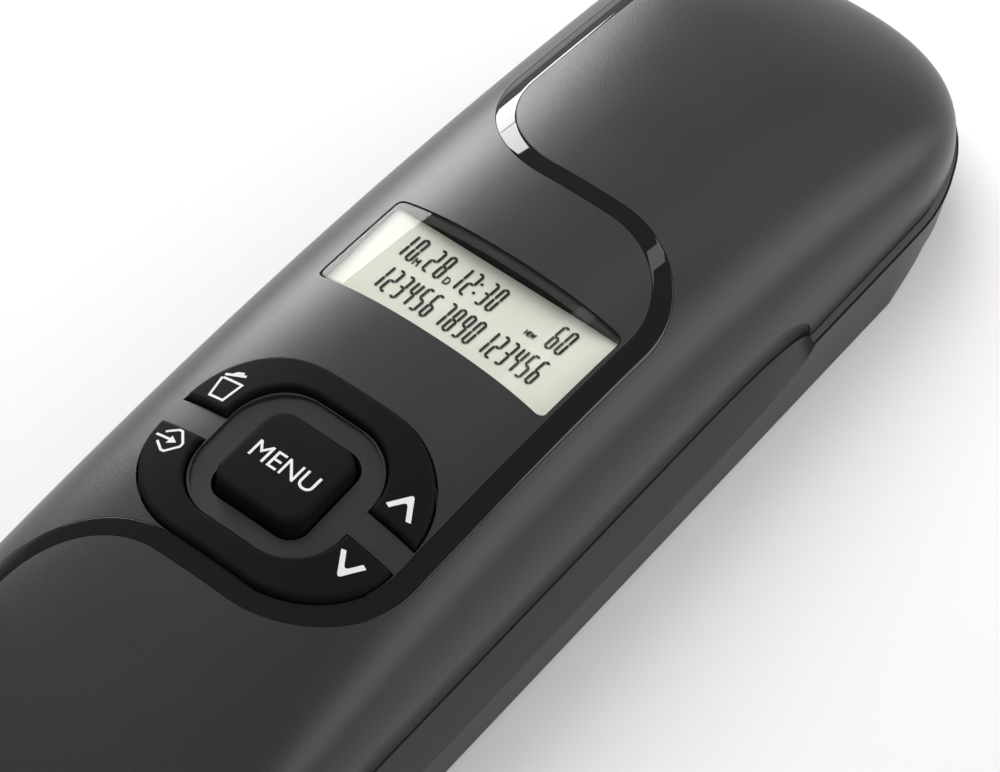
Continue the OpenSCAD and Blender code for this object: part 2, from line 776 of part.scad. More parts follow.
// Rubber boot of the capsule
module microphone_boot() {
    color("#303030") translate([0, mouth_y, pad_floor]) difference() {
        cylinder(r = mic_r + boot_t, h = mic_h + boot_t - boot_lip);
        translate([0, 0, boot_t]) cylinder(r = mic_r, h = mic_h + 1);
        translate([0, 0, -1]) cylinder(r = mic_hole_r, h = boot_t + 2);
    }
}

// Modular jack with its mouth at y = 0, open towards -Y
module jack(socket_w) {
    difference() {
        translate([-socket_w / 2 - jack_side, 0, 0])
            cube([socket_w + 2 * jack_side, socket_d + jack_back, jack_h]);
        translate([-socket_w / 2, -1, jack_t]) cube([socket_w, socket_d + 1, socket_h]);
    }
}

// Room for a jack and its plug, cut from the base
module jack_recess(socket_w) {
    translate([-socket_w / 2 - jack_side - gap, -gap / 2, 0])
        cube([socket_w + 2 * (jack_side + gap), socket_d + jack_back + gap, jack_h + gap / 2]);
    translate([-socket_w / 2, -plug_room, jack_t]) cube([socket_w, plug_room + 2, socket_h]);
}

// Jack of the handset's cord
module handset_jack() {
    color("#181818") translate([0, jack_front, socket_z - jack_t]) jack(cord_socket_w);
}

// Screw that stands on its head, with a cross slot
module screw() {
    difference() {
        union() {
            cylinder(r = screw_head_r, h = screw_head_h);
            cylinder(r = screw_r, h = screw_len);
        }
        for (a = [0, 90]) rotate(a) translate([-slot_len / 2, -slot_w / 2, -1])
            cube([slot_len, slot_w, slot_d + 1]);
    }
}
module handset_screws() {
    color("silver") at(handset_screw_at, face_z) screw();
}

// Outer form of the base: rings with draft, from the foot to the rim
function base_ring(z, side, end) = [for (p = outline(-ledge_w, -ledge_w, 10))
    let (e = max(abs(p[1]) - straight_y, 0) / (end_depth + ledge_w))
    [p[0] * (1 - side / (half_w + ledge_w)), p[1] - sign(p[1]) * e * end, z]];
module base_form() {
    rings = [base_ring(foot_h, side_draft, end_draft),
        base_ring(foot_h + draft_h, side_draft / 3, end_draft / 3),
        base_ring(deck_z - rim_bevel, 0, 0),
        base_ring(deck_z, rim_bevel, rim_bevel)];
    for (i = [0:len(rings) - 2]) slice(rings[i], rings[i + 1]);
}

// Plan of the base moved in by t, from the level z0 to z1
module base_inside(t, z0, z1) {
    translate([0, 0, z0]) linear_extrude(z1 - z0)
        polygon([for (p = base_ring(0, side_draft + t, end_draft + t)) [p[0], p[1]]]);
}

// Upper cover of the base: skirt, deck, wells for the pads and the hook's collar
module base_cover() {
    color("#4a4a4a") difference() {
        union() {
            difference() {
                base_form();
                base_inside(base_wall, 0, deck_under);
            }
            translate([0, ear_y, well_z - well_t])
                cylinder(r = ear_r + well_fit + well_t, h = deck_z - well_z);
            translate([0, mouth_y, well_z - well_t])
                cylinder(r = mouth_r + well_fit + well_t, h = deck_z - well_z);
            intersection() {
                base_form();
                translate([-notch_half - well_t, -handset_len, notch_z - well_t])
                    cube([2 * (notch_half + well_t), handset_len + mouth_y - mouth_r, deck_z - notch_z]);
            }
            translate([hook_x, hook_y, deck_under]) cylinder(r = collar_r, h = collar_z - deck_under);
            at(base_screw_at, plate_top) cylinder(r = boss_r, h = deck_under - plate_top + bite);
        }
        translate([0, ear_y, well_z]) cylinder(r = ear_r + well_fit, h = above);
        translate([0, mouth_y, well_z]) cylinder(r = mouth_r + well_fit, h = above);
        translate([-notch_half, -handset_len, notch_z])
            cube([2 * notch_half, handset_len + mouth_y, above]);
        translate([hook_x, hook_y, 0]) {
            cylinder(r = hook_r + hook_fit, h = above);
            cylinder(r = hook_flange_r + hook_room, h = deck_z);
        }
        at(base_screw_at) cylinder(r = screw_r + screw_fit, h = deck_under - bite);
        translate([0, line_jack_y, plate_top]) rotate(180) jack_recess(line_socket_w);
        translate([base_jack_at[0], base_jack_at[1], plate_top]) rotate(-90) jack_recess(cord_socket_w);
        scoops();
    }
}

// Bottom plate with keyholes for a wall and posts for the board
module base_plate() {
    color("#3c3c3c") difference() {
        union() {
            base_inside(base_wall + plate_fit, foot_h, plate_top);
            at(board_post_at, plate_top) cylinder(r = post_r, h = base_board_z - plate_top);
        }
        for (s = [-1, 1]) translate([0, s * keyhole_pitch / 2 - keyhole_shift, -1]) {
            cylinder(r = keyhole_r, h = above);
            translate([0, keyhole_len, 0]) cylinder(r = keyhole_slot / 2, h = above);
            translate([-keyhole_slot / 2, 0, 0]) cube([keyhole_slot, keyhole_len, above]);
        }
        at(base_screw_at) cylinder(r = screw_r + screw_room, h = above);
        at(base_screw_at) cylinder(r = screw_head_r + gap, h = foot_h + screw_head_h + gap);
    }
}

// Circuit board of the base, pierced for the hook plunger
module base_board() {
    color("darkgreen") difference() {
        translate([base_board_x, (base_board_y[0] + base_board_y[1]) / 2, base_board_z])
            linear_extrude(board_t) round_rect(base_board_w, base_board_y[1] - base_board_y[0], 1.5);
        translate([hook_x, hook_y, 0]) cylinder(r = hook_stem_r + hook_room, h = above);
    }
}

// Hook plunger: domed head, flange under the deck and stem into the switch
module hook_plunger() {
    color("#202020") translate([hook_x, hook_y, 0]) {
        intersection() {
            translate([0, 0, hook_flange_z]) cylinder(r = hook_r, h = hook_top - hook_flange_z);
            translate([0, 0, hook_top - hook_dome_r]) sphere(hook_dome_r);
        }
        translate([0, 0, hook_flange_z]) cylinder(r = hook_flange_r, h = hook_flange_t);
        translate([0, 0, switch_z - 1]) cylinder(r = hook_stem_r, h = hook_flange_z - switch_z + 1 + gap);
    }
}

// Switch body that guides the plunger's stem
module hook_switch() {
    color("#5a5a5a") translate([hook_x, hook_y, switch_z]) difference() {
        linear_extrude(switch_h) round_rect(switch_w, switch_w, 1);
        translate([0, 0, -1]) cylinder(r = hook_stem_r + hook_fit, h = switch_h + 2);
    }
}

// Sounder on the bottom plate
module ringer() {
    color("goldenrod") translate([ringer_at[0], ringer_at[1], plate_top]) {
        cylinder(r = ringer_r, h = ringer_h[0]);
        cylinder(r = ringer_r - ringer_rim, h = ringer_h[1]);
    }
}

// Jack of the line cord, at the base's earpiece end
module line_jack() {
    color("#181818") translate([0, line_jack_y, plate_top]) rotate(180) jack(line_socket_w);
}

// Jack of the handset's cord, at the base's left side
module base_jack() {
    color("#181818") translate([base_jack_at[0], base_jack_at[1], plate_top]) rotate(-90) jack(cord_socket_w);
}

// Steel plate that steadies the base
module base_weight() {
    color("slategray") translate([weight_x, weight_y, plate_top])
        linear_extrude(weight_t) round_rect(weight_w, weight_len, 2);
}

module feet() {
    color("#101010") at(foot_at) cylinder(r = foot_r, h = foot_h);
}
module base_screws() {
    color("silver") at(base_screw_at, foot_h + gap) screw();
}

handset_back();
trim_band();
display_lens();
display_module();
display_frame();
rocker_bearings();
display_board();
menu_keymat();
menu_key();
upper_menu_key();
lower_menu_key();
handset_front();
dial_keymat();
dial_board();
ear_speaker();
microphone();
microphone_boot();
handset_jack();
handset_screws();
base_cover();
base_plate();
base_board();
hook_plunger();
hook_switch();
ringer();
line_jack();
base_jack();
base_weight();
feet();
base_screws();
for (i = [0:len(DIAL) - 1]) dial_key(i);
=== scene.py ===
# %% [markdown]
# # Dressing a corded telephone
#
# The telephone's solids come from the CAD frame, with their joints. They are exact, but the big curved pieces are
# made of flat facets. This lesson gives the phone its smooth skin, its clear window, its lettering and its finishes.
# Everything is worked out in millimetres and becomes metres at the moment a mesh is made.

import math

import bmesh
import bpy
import numpy as np
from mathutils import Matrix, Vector


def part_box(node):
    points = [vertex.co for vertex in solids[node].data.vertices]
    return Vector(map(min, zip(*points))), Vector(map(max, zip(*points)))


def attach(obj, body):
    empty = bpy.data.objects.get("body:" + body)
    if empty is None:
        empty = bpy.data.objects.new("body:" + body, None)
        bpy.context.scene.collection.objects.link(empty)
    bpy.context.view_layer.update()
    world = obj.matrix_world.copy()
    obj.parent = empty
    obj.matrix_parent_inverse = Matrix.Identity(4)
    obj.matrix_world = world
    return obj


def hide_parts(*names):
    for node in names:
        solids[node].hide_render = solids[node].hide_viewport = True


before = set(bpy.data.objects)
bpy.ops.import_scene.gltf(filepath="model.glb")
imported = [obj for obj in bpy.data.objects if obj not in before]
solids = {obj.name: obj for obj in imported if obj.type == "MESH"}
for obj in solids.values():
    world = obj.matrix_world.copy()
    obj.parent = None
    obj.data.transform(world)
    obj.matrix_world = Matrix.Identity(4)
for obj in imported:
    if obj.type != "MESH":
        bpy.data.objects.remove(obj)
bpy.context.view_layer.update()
scene = bpy.context.scene
MM = 0.001

# %% [markdown]
# ## The camera
#
# A long lens looks down on the phone from its right side and from the mouthpiece end. The viewing angle was worked
# out from the outline of the shell, the seam and the display window, so it comes first: all pieces are judged in it.

# %% Camera
CAMERA_AIM = Vector((7.293, 14.705, 24.219)) * MM
CAMERA_TURN = math.radians(38.688)
CAMERA_HEIGHT = math.radians(52.823)
CAMERA_AWAY = 545.9 * MM
SENSOR_W, FOCAL = 36.0, 144.05
CLIP_NEAR, CLIP_FAR = 0.01, 50.0

back = Vector((
    math.sin(CAMERA_TURN) * math.cos(CAMERA_HEIGHT),
    -math.cos(CAMERA_TURN) * math.cos(CAMERA_HEIGHT),
    math.sin(CAMERA_HEIGHT),
))
lens = bpy.data.cameras.new("camera")
lens.sensor_fit = "HORIZONTAL"
lens.sensor_width = SENSOR_W
lens.lens = FOCAL
lens.clip_start, lens.clip_end = CLIP_NEAR, CLIP_FAR
camera = bpy.data.objects.new("camera", lens)
camera.location = CAMERA_AIM + back * CAMERA_AWAY
camera.rotation_euler = back.to_track_quat("Z", "Y").to_euler()
scene.collection.objects.link(camera)
scene.camera = camera
scene.view_settings.view_transform = "Standard"
print("camera at", [round(v, 3) for v in camera.location])

# %% [markdown]
# ## The form of the handset
#
# The back shell is an arch. Seen from above it is a long bar with rounded ends, and each section across it has full
# shoulders. One number, the reach, says how far a point lies from the middle line (0) towards the edge (1), and the
# height falls off with the reach. The same function also gives every smaller shell inside it, moved in by t.

# %% Form of the shell
HALF_W, STRAIGHT_Y, END_DEPTH, END_POW = 29.8, 82.0, 28.5, 2.34
SEAM_Z, CROWN_Z, ARCH_R = 11.3, 37.0, 333.0
SIDE_POW, SHOULDER_POW = 2.245, 3.83
SHELL_T, EDGE_CROWD = 2.2, 1.9


def reach(x, y, t=0.0):
    """Distance from the middle line to the edge: the END_POW-norm of x over the half width and of the way past the
    straight part over the end's depth."""
    past = np.maximum(np.abs(y) - STRAIGHT_Y, 0) / (END_DEPTH - t)
    return ((np.abs(x) / (HALF_W - t)) ** END_POW + past**END_POW) ** (1 / END_POW)


def top_height(x, y, t=0.0):
    """Height of the shell: the seam plus the arch's rise times (1 - reach^SIDE_POW)^(1 / SHOULDER_POW)."""
    rise = CROWN_Z - t - np.square(y) / (2 * ARCH_R) - SEAM_Z
    return SEAM_Z + rise * np.maximum(1 - reach(x, y, t) ** SIDE_POW, 0) ** (1 / SHOULDER_POW)


def plan_ring(t=0.0, n_side=82, n_end=56):
    """Outline of the shell from above, moved in by t: two straight sides and two half superellipses."""
    a, b = HALF_W - t, END_DEPTH - t
    side = np.linspace(-STRAIGHT_Y, STRAIGHT_Y, n_side, endpoint=False)
    turn = np.linspace(0, np.pi, n_end, endpoint=False)
    bow_x = a * np.sign(np.cos(turn)) * np.abs(np.cos(turn)) ** (2 / END_POW)
    bow_y = STRAIGHT_Y + b * np.sin(turn) ** (2 / END_POW)
    x = np.concatenate([np.full(n_side, a), bow_x, np.full(n_side, -a), -bow_x])
    y = np.concatenate([side, bow_y, -side, -bow_y])
    return np.stack([x, y], -1)


def dome_rows(t, rows):
    """Grid over the shell moved in by t. A row is the outline shrunk towards the middle line by its reach. The rows
    follow the superellipse reach = cos^(2 / SIDE_POW), height = sin^(2 / SHOULDER_POW), closer at the edge."""
    turn = np.pi / 2 * np.linspace(0, 1, rows) ** EDGE_CROWD
    share = np.cos(turn) ** (2 / SIDE_POW)
    share[-1] = 0
    ring = plan_ring(t)
    core = np.stack([np.zeros(len(ring)), np.clip(ring[:, 1], -STRAIGHT_Y, STRAIGHT_Y)], -1)
    xy = core + share[:, None, None] * (ring - core)
    height = np.sin(turn) ** (2 / SHOULDER_POW)
    rise = CROWN_Z - t - xy[..., 1] ** 2 / (2 * ARCH_R) - SEAM_Z
    return np.concatenate([xy, (SEAM_Z + rise * height[:, None])[..., None]], -1)


print("crown of the arch:", round(float(top_height(0, 0)), 2), "mm")

# %% [markdown]
# ## From numbers to meshes
#
# A surface is a grid of points. Its faces follow from the grid alone, so no vertex is ever placed by hand. A piece
# may be several grids, which are welded where they meet. Holes are cut by closed blocks with a Boolean, because a
# hole with a crisp wall in a curved skin is hard to draw as one grid.

# %% Mesh helpers
WELD = 2e-6
SHARP = 32.0


def grid(points, closed=False):
    """A grid of points as (points, quads). A closed grid joins its last column to its first."""
    rows, cols = points.shape[:2]
    r = np.arange(rows - 1)[:, None] * cols
    c = np.arange(cols if closed else cols - 1)[None, :]
    a, b = r + c, r + (c + 1) % cols
    return points.reshape(-1, 3), np.stack([a, b, b + cols, a + cols], -1).reshape(-1, 4)


def cap(ring):
    """A closed ring of points as one flat face."""
    return ring, np.arange(len(ring))[None, :]


def lift(xy, z):
    """Plan points at the height z, one number or one for each point."""
    return np.concatenate([xy, np.broadcast_to(np.asarray(z, float), xy.shape[:-1])[..., None]], -1)


def drape(xy, height, *more):
    """Plan points on the surface z = height(x, y)."""
    return lift(xy, height(xy[..., 0], xy[..., 1], *more))


def tube(rows):
    """Blocks of a closed body: a grid that runs round, and its first and last rows as flat ends."""
    return [grid(rows, True), cap(rows[0]), cap(rows[-1])]


def prism(outline, low, high):
    """Blocks of an upright prism over a closed outline, between two levels."""
    return tube(np.stack([lift(outline, low), lift(outline, high)]))


EDGES = (0, -1, np.s_[:, 0], np.s_[:, -1])


def slab(top, low, closed=False):
    """Blocks of a plate between two grids of one plan. A closed one runs round, so it has no end walls."""
    walls = EDGES[:2] if closed else EDGES
    return [grid(top, closed), grid(low, closed)] + [grid(np.stack([top[e], low[e]]), closed) for e in walls]


def make_piece(name, blocks, sharp=SHARP):
    """One object from blocks of points and faces: welded, normals outwards, smooth up to the sharp angle."""
    starts = np.cumsum([0] + [len(points) for points, _ in blocks])
    faces = [row for start, (_, quads) in zip(starts, blocks) for row in (quads + start).tolist()]
    mesh = bpy.data.meshes.new(name)
    mesh.from_pydata((np.concatenate([points for points, _ in blocks]) * MM).tolist(), [], faces)
    work = bmesh.new()
    work.from_mesh(mesh)
    bmesh.ops.remove_doubles(work, verts=work.verts, dist=WELD)
    bmesh.ops.dissolve_degenerate(work, edges=work.edges, dist=WELD)
    bmesh.ops.recalc_face_normals(work, faces=work.faces)
    work.to_mesh(mesh)
    work.free()
    piece = bpy.data.objects.new(name, mesh)
    scene.collection.objects.link(piece)
    soften(piece, sharp)
    print(name, "faces:", len(mesh.polygons))
    return piece


def soften(piece, sharp):
    """Smooth shading with hard edges above an angle in degrees."""
    piece.data.shade_smooth()
    piece.data.set_sharp_from_angle(angle=math.radians(sharp))


def carve(piece, tools, join=False):
    """Cuts closed blocks from a piece, or joins them to it, one after another."""
    for tool in tools:
        cut = piece.modifiers.new(tool.name, "BOOLEAN")
        cut.object = tool
        cut.operation = "UNION" if join else "DIFFERENCE"
        cut.solver = "EXACT"
    evaluated = piece.evaluated_get(bpy.context.evaluated_depsgraph_get())
    carved = bpy.data.meshes.new_from_object(evaluated)
    piece.modifiers.clear()
    piece.data = carved
    for tool in tools:
        bpy.data.objects.remove(tool)
    soften(piece, SHARP)
    print(piece.name, "after carving:", len(carved.polygons), "faces")


def numbers(items, key):
    """One whole-number property of all of a mesh's loops or polygons."""
    values = np.empty(len(items), int)
    items.foreach_get(key, values)
    return values


def vectors(items, key):
    """One vector property of all of a mesh's vertices or polygons, a row for each."""
    values = np.empty(len(items) * 3)
    items.foreach_get(key, values)
    return values.reshape(-1, 3)


STEP, NEAR, ALIKE, TOO_STEEP = 0.005, 0.02, 0.93, 12.0


def polish(piece, height):
    """Gives the faces that lie on the surface z = height(x, y) its exact normal, (-dz/dx, -dz/dy, 1) made one long,
    so that cuts leave no ripples in the reflections."""
    mesh = piece.data
    corner = numbers(mesh.loops, "vertex_index")
    x, y, z = vectors(mesh.vertices, "co")[corner].T / MM
    flat = np.repeat(vectors(mesh.polygons, "normal"), numbers(mesh.polygons, "loop_total"), axis=0)
    slope_x = (height(x + STEP, y) - height(x - STEP, y)) / (2 * STEP)
    slope_y = (height(x, y + STEP) - height(x, y - STEP)) / (2 * STEP)
    exact = np.stack([-slope_x, -slope_y, np.ones_like(x)], -1)
    steep = np.linalg.norm(exact, axis=1)
    exact /= steep[:, None]
    lies_on = np.abs(z - height(x, y)) < NEAR * steep
    lies_on &= (np.sum(exact * flat, axis=1) > ALIKE) & (steep < TOO_STEEP)
    mesh.normals_split_custom_set(np.where(lies_on[:, None], exact, 0.0).tolist())
    print(piece.name, "polished corners:", int(lies_on.sum()), "of", len(corner))


# %% [markdown]
# ## Outlines seen from above
#
# The window, the keys and the band are all drawn as plan outlines that the curved shell then carries. A rounded
# rectangle is enough for the window and the middle key, and the curved keys lie between two of them.

# %% Plan outlines
LENS_Y, LENS_W, LENS_LEN, LENS_R = 17.2, 39.2, 18.0, 1.2
PAD_Y = -20.9
RING_W, RING_LEN, RING_R = 39.2, 31.2, 13.6
EYE_W, EYE_LEN, EYE_R = 24.8, 23.0, 8.5
KEY_GAP, KEY_FIT, KEY_RISE = 4.8, 0.35, 1.0
MENU_W, MENU_R = 15.2, 3.0
BAND_W, BAND_T, BAND_FIT = 3.0, 1.0, 0.03
BAND_R, BAND_LOW_R, BAND_RIGHT, BAND_LEFT = 16.0, 16.4, 21.6, 22.4
BAND_UPPER_Y, BAND_LOWER_Y, BAND_LEAN = 42.7, -38.4, 2.3


def round_rect(w, length, r, n=10, centre=(0.0, 0.0), side=0):
    """Outline of a rounded rectangle: four quarter circles and the straight lines between them, with side points
    on each line."""
    turn = np.linspace(0, np.pi / 2, n)
    quarter = np.stack([np.cos(turn), np.sin(turn)], -1) * r + [w / 2 - r, length / 2 - r]
    arcs = [quarter, quarter[::-1] * [-1, 1], -quarter, quarter[::-1] * [1, -1]]
    share = np.linspace(0, 1, side + 2)[1:-1, None]
    lines = [a[-1] * (1 - share) + b[0] * share for a, b in zip(arcs, arcs[1:] + arcs[:1])]
    return np.concatenate([part for pair in zip(arcs, lines) for part in pair]) + np.asarray(centre)


def shrunk_rows(w, length, r, insets, centre, n=10, side=0):
    """Rounded rectangles moved in by each inset, with the corner radius shrinking to nothing."""
    return np.stack([round_rect(w - 2 * d, length - 2 * d, max(r - d, 0), n, centre, side) for d in insets])


def circle(r, centre, n=96):
    """Outline of a circle."""
    turn = np.linspace(0, 2 * np.pi, n, endpoint=False)
    return np.stack([np.cos(turn), np.sin(turn)], -1) * r + np.asarray(centre)


def box_outline(x0, x1, y0, y1):
    """Outline of a plain rectangle."""
    return np.array([[x0, y0], [x1, y0], [x1, y1], [x0, y1]], float)


EASE = np.array([0.0, 0.04, 0.1, 0.19, 0.31, 0.46, 0.64, 0.85])


def half_bow(w, length, r, start, n_arc=22, n_top=7):
    """Right half of a bow-shaped edge: up from the level start, round the corner and in to the middle line. The
    first points lie EASE above start, so that a rounded end has enough of them."""
    centre = np.array([w / 2 - r, length / 2 - r])
    level = start + EASE
    x = centre[0] + np.sqrt(np.maximum(r**2 - np.maximum(level - centre[1], 0) ** 2, 0))
    first = math.asin(min(max((level[-1] - centre[1]) / r, 0.0) + 0.02, 1.0))
    turn = np.linspace(first, np.pi / 2, n_arc)
    arc = centre + r * np.stack([np.cos(turn), np.sin(turn)], -1)
    across = np.stack([np.linspace(centre[0], 0, n_top)[1:], np.full(n_top - 1, length / 2)], -1)
    return np.concatenate([np.stack([x, level], -1), arc, across])


def bow(w, length, r, start):
    """A whole bow: the right half and its mirror image."""
    right = half_bow(w, length, r, start)
    return np.concatenate([right, right[-2::-1] * [-1, 1]])


def key_outline(side, grow=0.0):
    """Closed outline of a curved key, upper (1) or lower (-1), grown all round."""
    outer = bow(RING_W + 2 * grow, RING_LEN + 2 * grow, RING_R + grow, KEY_GAP / 2 - grow)
    inner = bow(EYE_W - 2 * grow, EYE_LEN - 2 * grow, EYE_R - grow, KEY_GAP / 2 - grow)
    return np.concatenate([outer, inner[::-1]]) * [1, side] + [0, PAD_Y]


print("key outline points:", len(key_outline(1)))

# %% [markdown]
# ## The band's path
#
# The gloss band comes down the left side, swings across above the display, runs down the right side and swings back
# below the keys. Its middle line is straight runs and quarter bends. Each of its long edges is the middle line moved
# sideways. The outer runs leave the shell at its rounded ends, so each edge line stops where the reach becomes one.

# %% Path of the band
FARTHEST, HALVINGS = 60.0, 50
RUN_ROWS, RUN_CROWD, LEAN_PAST = 44, 2.6, 2


def bend(centre, r, start, stop, turn, n=40):
    """Quarter bend of the middle line with radius r: points, and the direction across the band at each."""
    angle = np.radians(np.linspace(start, stop, n))
    across = np.radians(np.linspace(start, stop, n) + turn)
    spots = np.asarray(centre) + r * np.stack([np.cos(angle), np.sin(angle)], -1)
    return spots, np.stack([np.cos(across), np.sin(across)], -1)


def straight(a, b, across, n):
    """Straight run of the middle line, without its ends."""
    share = np.linspace(0, 1, n)[1:-1, None]
    spots = np.asarray(a) * (1 - share) + np.asarray(b) * share
    return spots, np.broadcast_to(np.asarray(across, float), spots.shape)


def run_end(spot, slope, t):
    """Where straight lines from the spots, leaning outwards by slope for each mm, meet the edge of the shell moved
    in by t. Found by halving the span."""
    low, high = np.zeros(len(spot)), np.full(len(spot), FARTHEST)
    way = np.sign(spot[:, 1])
    for _ in range(HALVINGS):
        mid = (low + high) / 2
        inside = reach(spot[:, 0] - slope * mid, spot[:, 1] + way * mid, t) < 1
        low, high = np.where(inside, mid, low), np.where(inside, high, mid)
    return low


def band_lines(offsets, t):
    """Grid of plan points: rows along the band, columns at the offsets across it. The two outer runs end on the edge
    of the shell moved in by t, with their rows closer together there."""
    upper = bend((BAND_R - BAND_LEFT, BAND_UPPER_Y + BAND_R), BAND_R, 180, 270, 180)
    right_up = bend((BAND_RIGHT - BAND_R, BAND_UPPER_Y - BAND_R), BAND_R, 90, 0, 0)
    right_down = bend((BAND_RIGHT - BAND_R, BAND_LOWER_Y + BAND_R), BAND_R, 0, -90, 0)
    lower = bend((BAND_LOW_R - BAND_LEFT, BAND_LOWER_Y - BAND_LOW_R), BAND_LOW_R, 90, 180, -180)
    parts = [upper, straight(upper[0][-1], right_up[0][0], (0, 1), 10), right_up,
             straight(right_up[0][-1], right_down[0][0], (1, 0), 30), right_down,
             straight(right_down[0][-1], lower[0][0], (0, -1), 10), lower]
    spots = np.concatenate([p[0] for p in parts])[:, None, :]
    across = np.concatenate([p[1] for p in parts])[:, None, :]
    middle = spots + across * np.asarray(offsets)[None, :, None]
    slope = BAND_LEAN / (END_DEPTH + STRAIGHT_Y + LEAN_PAST - BAND_UPPER_Y - BAND_R)
    share = 1 - (1 - np.linspace(0, 1, RUN_ROWS)) ** RUN_CROWD
    runs = []
    for row in (middle[0], middle[-1]):
        way = run_end(row, slope, t)[None, :] * share[:, None]
        runs.append(np.stack([row[:, 0] - slope * way, row[:, 1] + np.sign(row[:, 1]) * way], -1))
    return np.concatenate([runs[0][:0:-1], middle, runs[1][1:]])


print("band rows:", len(band_lines([0.0], 0.0)))

# %% [markdown]
# ## The finger scoops
#
# A long hollow on each side lets the fingers get under the handset. It crosses the seam, so the same cutting block
# goes through the shell and through the base. Its section has a lip below the seam and a hollow above, and both
# shrink to nothing at the hollow's ends.

# %% Scoop block
LEDGE_W = 1.2
SCOOP_FLAT, SCOOP_END, SCOOP_TIP = 33.0, 24.0, 2.4
SCOOP_UP, SCOOP_DOWN, SCOOP_DEPTH, SCOOP_IN = 9.2, 4.9, 1.7, 0.3
LIP_POW, HOLLOW_POW = 1.1, 1.25
CLEAR_OF, BLOCK_OUT = 0.1, 4


def scoop_block(name, side):
    """Cutting block of a scoop: sections along y. Past the flat part they shrink as a superellipse does, by
    (1 - past^SCOOP_TIP)^(1 / SCOOP_TIP). Above the seam the wall leans out to the crease, below it to the lip."""
    turn = np.radians(np.linspace(0, 89, 48))
    run = np.concatenate([-SCOOP_FLAT - SCOOP_END * np.sin(turn[::-1]),
                          np.linspace(-SCOOP_FLAT, SCOOP_FLAT, 24)[1:-1], SCOOP_FLAT + SCOOP_END * np.sin(turn)])
    past = np.maximum(np.abs(run) - SCOOP_FLAT, 0) / SCOOP_END
    full = ((1 - past**SCOOP_TIP) ** (1 / SCOOP_TIP))[:, None]
    rim = HALF_W + LEDGE_W + CLEAR_OF
    crease = HALF_W - SCOOP_IN
    deep = crease - full * SCOOP_DEPTH
    step = np.linspace(0, 1, 24)[None, :]
    lower_x = deep + (rim - deep) * step**LIP_POW
    upper_x = crease - full * SCOOP_DEPTH * (1 - step) ** HOLLOW_POW
    lower = np.stack(np.broadcast_arrays(lower_x, run[:, None], SEAM_Z - SCOOP_DOWN * full * step), -1)
    upper = np.stack(np.broadcast_arrays(upper_x, run[:, None], SEAM_Z + SCOOP_UP * full * step), -1)
    outside = np.stack([upper[:, -1], lower[:, -1]], 1)
    outside[..., 0] = rim + BLOCK_OUT
    block = np.concatenate([lower[:, :0:-1], upper, outside], 1) * [side, 1, 1]
    return make_piece(name, tube(block))


# %% [markdown]
# ## The back shell
#
# The real shell is one moulding, 2.2 mm thick. It is made here as an outer and an inner grid joined along the seam,
# and then the window, the key openings, the dish, the band's groove, the scoops and the jack's mouth are cut out.
# The last step, polishing, gives the outer faces the exact normals of the formula, so that highlights stay clean.

# %% Back shell
CUT_LOW, ABOVE = 24.0, 50.0
LENS_T, SEAT_W, SEAT_TOP_W, SEAT_R, SEAT_FIT = 0.5, 0.3, 0.6, 0.8, 0.02
DISH_RIM, DISH_DROP, DISH_SLOPE, DISH_POW, DISH_IN = 0.35, 0.75, 0.3, 0.7, 0.5
CORNER_FIT, GROOVE_PAST, GROOVE_UNDER = 0.2, 12, 2
JACK_CUT, JACK_CUT_LOW, JACK_CUT_TOP = (-5.0, 5.0, -112, -98.5), SEAM_Z - 1, 15.3


def dish_height(x, y):
    """Floor of the dish round the middle key: the shell less a drop that grows from the dish's edge inwards."""
    way = ((np.abs(x) / (EYE_W / 2)) ** 4 + (np.abs(y - PAD_Y) / (EYE_LEN / 2)) ** 4) ** 0.25
    return top_height(x, y) - DISH_RIM - (DISH_DROP - DISH_RIM) * np.clip((1 - way) / DISH_SLOPE, 0, 1) ** DISH_POW


def pit(bottom):
    """Blocks of a cutting body: a grid for the pit's bottom, the wall above its outline, and a lid."""
    lid = lift(bottom[0, :, :2], ABOVE)
    return [grid(bottom, True), grid(np.stack([bottom[0], lid]), True), cap(lid)]


outer = dome_rows(0.0, 60)
inner = dome_rows(SHELL_T, 26)
rim = np.stack([outer[0], inner[0]])
handset_shell = make_piece("handset_shell", [grid(outer, True), grid(inner, True), grid(rim, True)])

window_w, window_len = LENS_W - 2 * SEAT_W, LENS_LEN - SEAT_W - SEAT_TOP_W
window_at = (0, LENS_Y - (SEAT_TOP_W - SEAT_W) / 2)
window = make_piece("window_cut", prism(
    round_rect(window_w, window_len, SEAT_R, centre=window_at), CUT_LOW, ABOVE))
seat_xy = shrunk_rows(LENS_W, LENS_LEN, LENS_R, np.linspace(0, LENS_LEN / 2, 10), (0, LENS_Y), side=24)
seat_cut = make_piece("seat_cut", pit(drape(seat_xy, top_height, LENS_T) - [0, 0, SEAT_FIT]))
key_cuts = [make_piece(f"key_cut_{side}", prism(key_outline(side, KEY_FIT), CUT_LOW, ABOVE)) for side in (1, -1)]
menu_cut = make_piece("menu_cut", prism(
    round_rect(MENU_W + 2 * KEY_FIT, MENU_W + 2 * KEY_FIT, MENU_R + CORNER_FIT, centre=(0, PAD_Y)), CUT_LOW, ABOVE))
dish_rim = round_rect(EYE_W - 2 * DISH_IN, EYE_LEN - 2 * DISH_IN, EYE_R, n=24, centre=(0, PAD_Y))
dish_centre = np.array([0, PAD_Y])
dish_xy = dish_centre + np.linspace(1, 0, 24)[:, None, None] * (dish_rim - dish_centre)
dish_cut = make_piece("dish_cut", pit(drape(dish_xy, dish_height)))

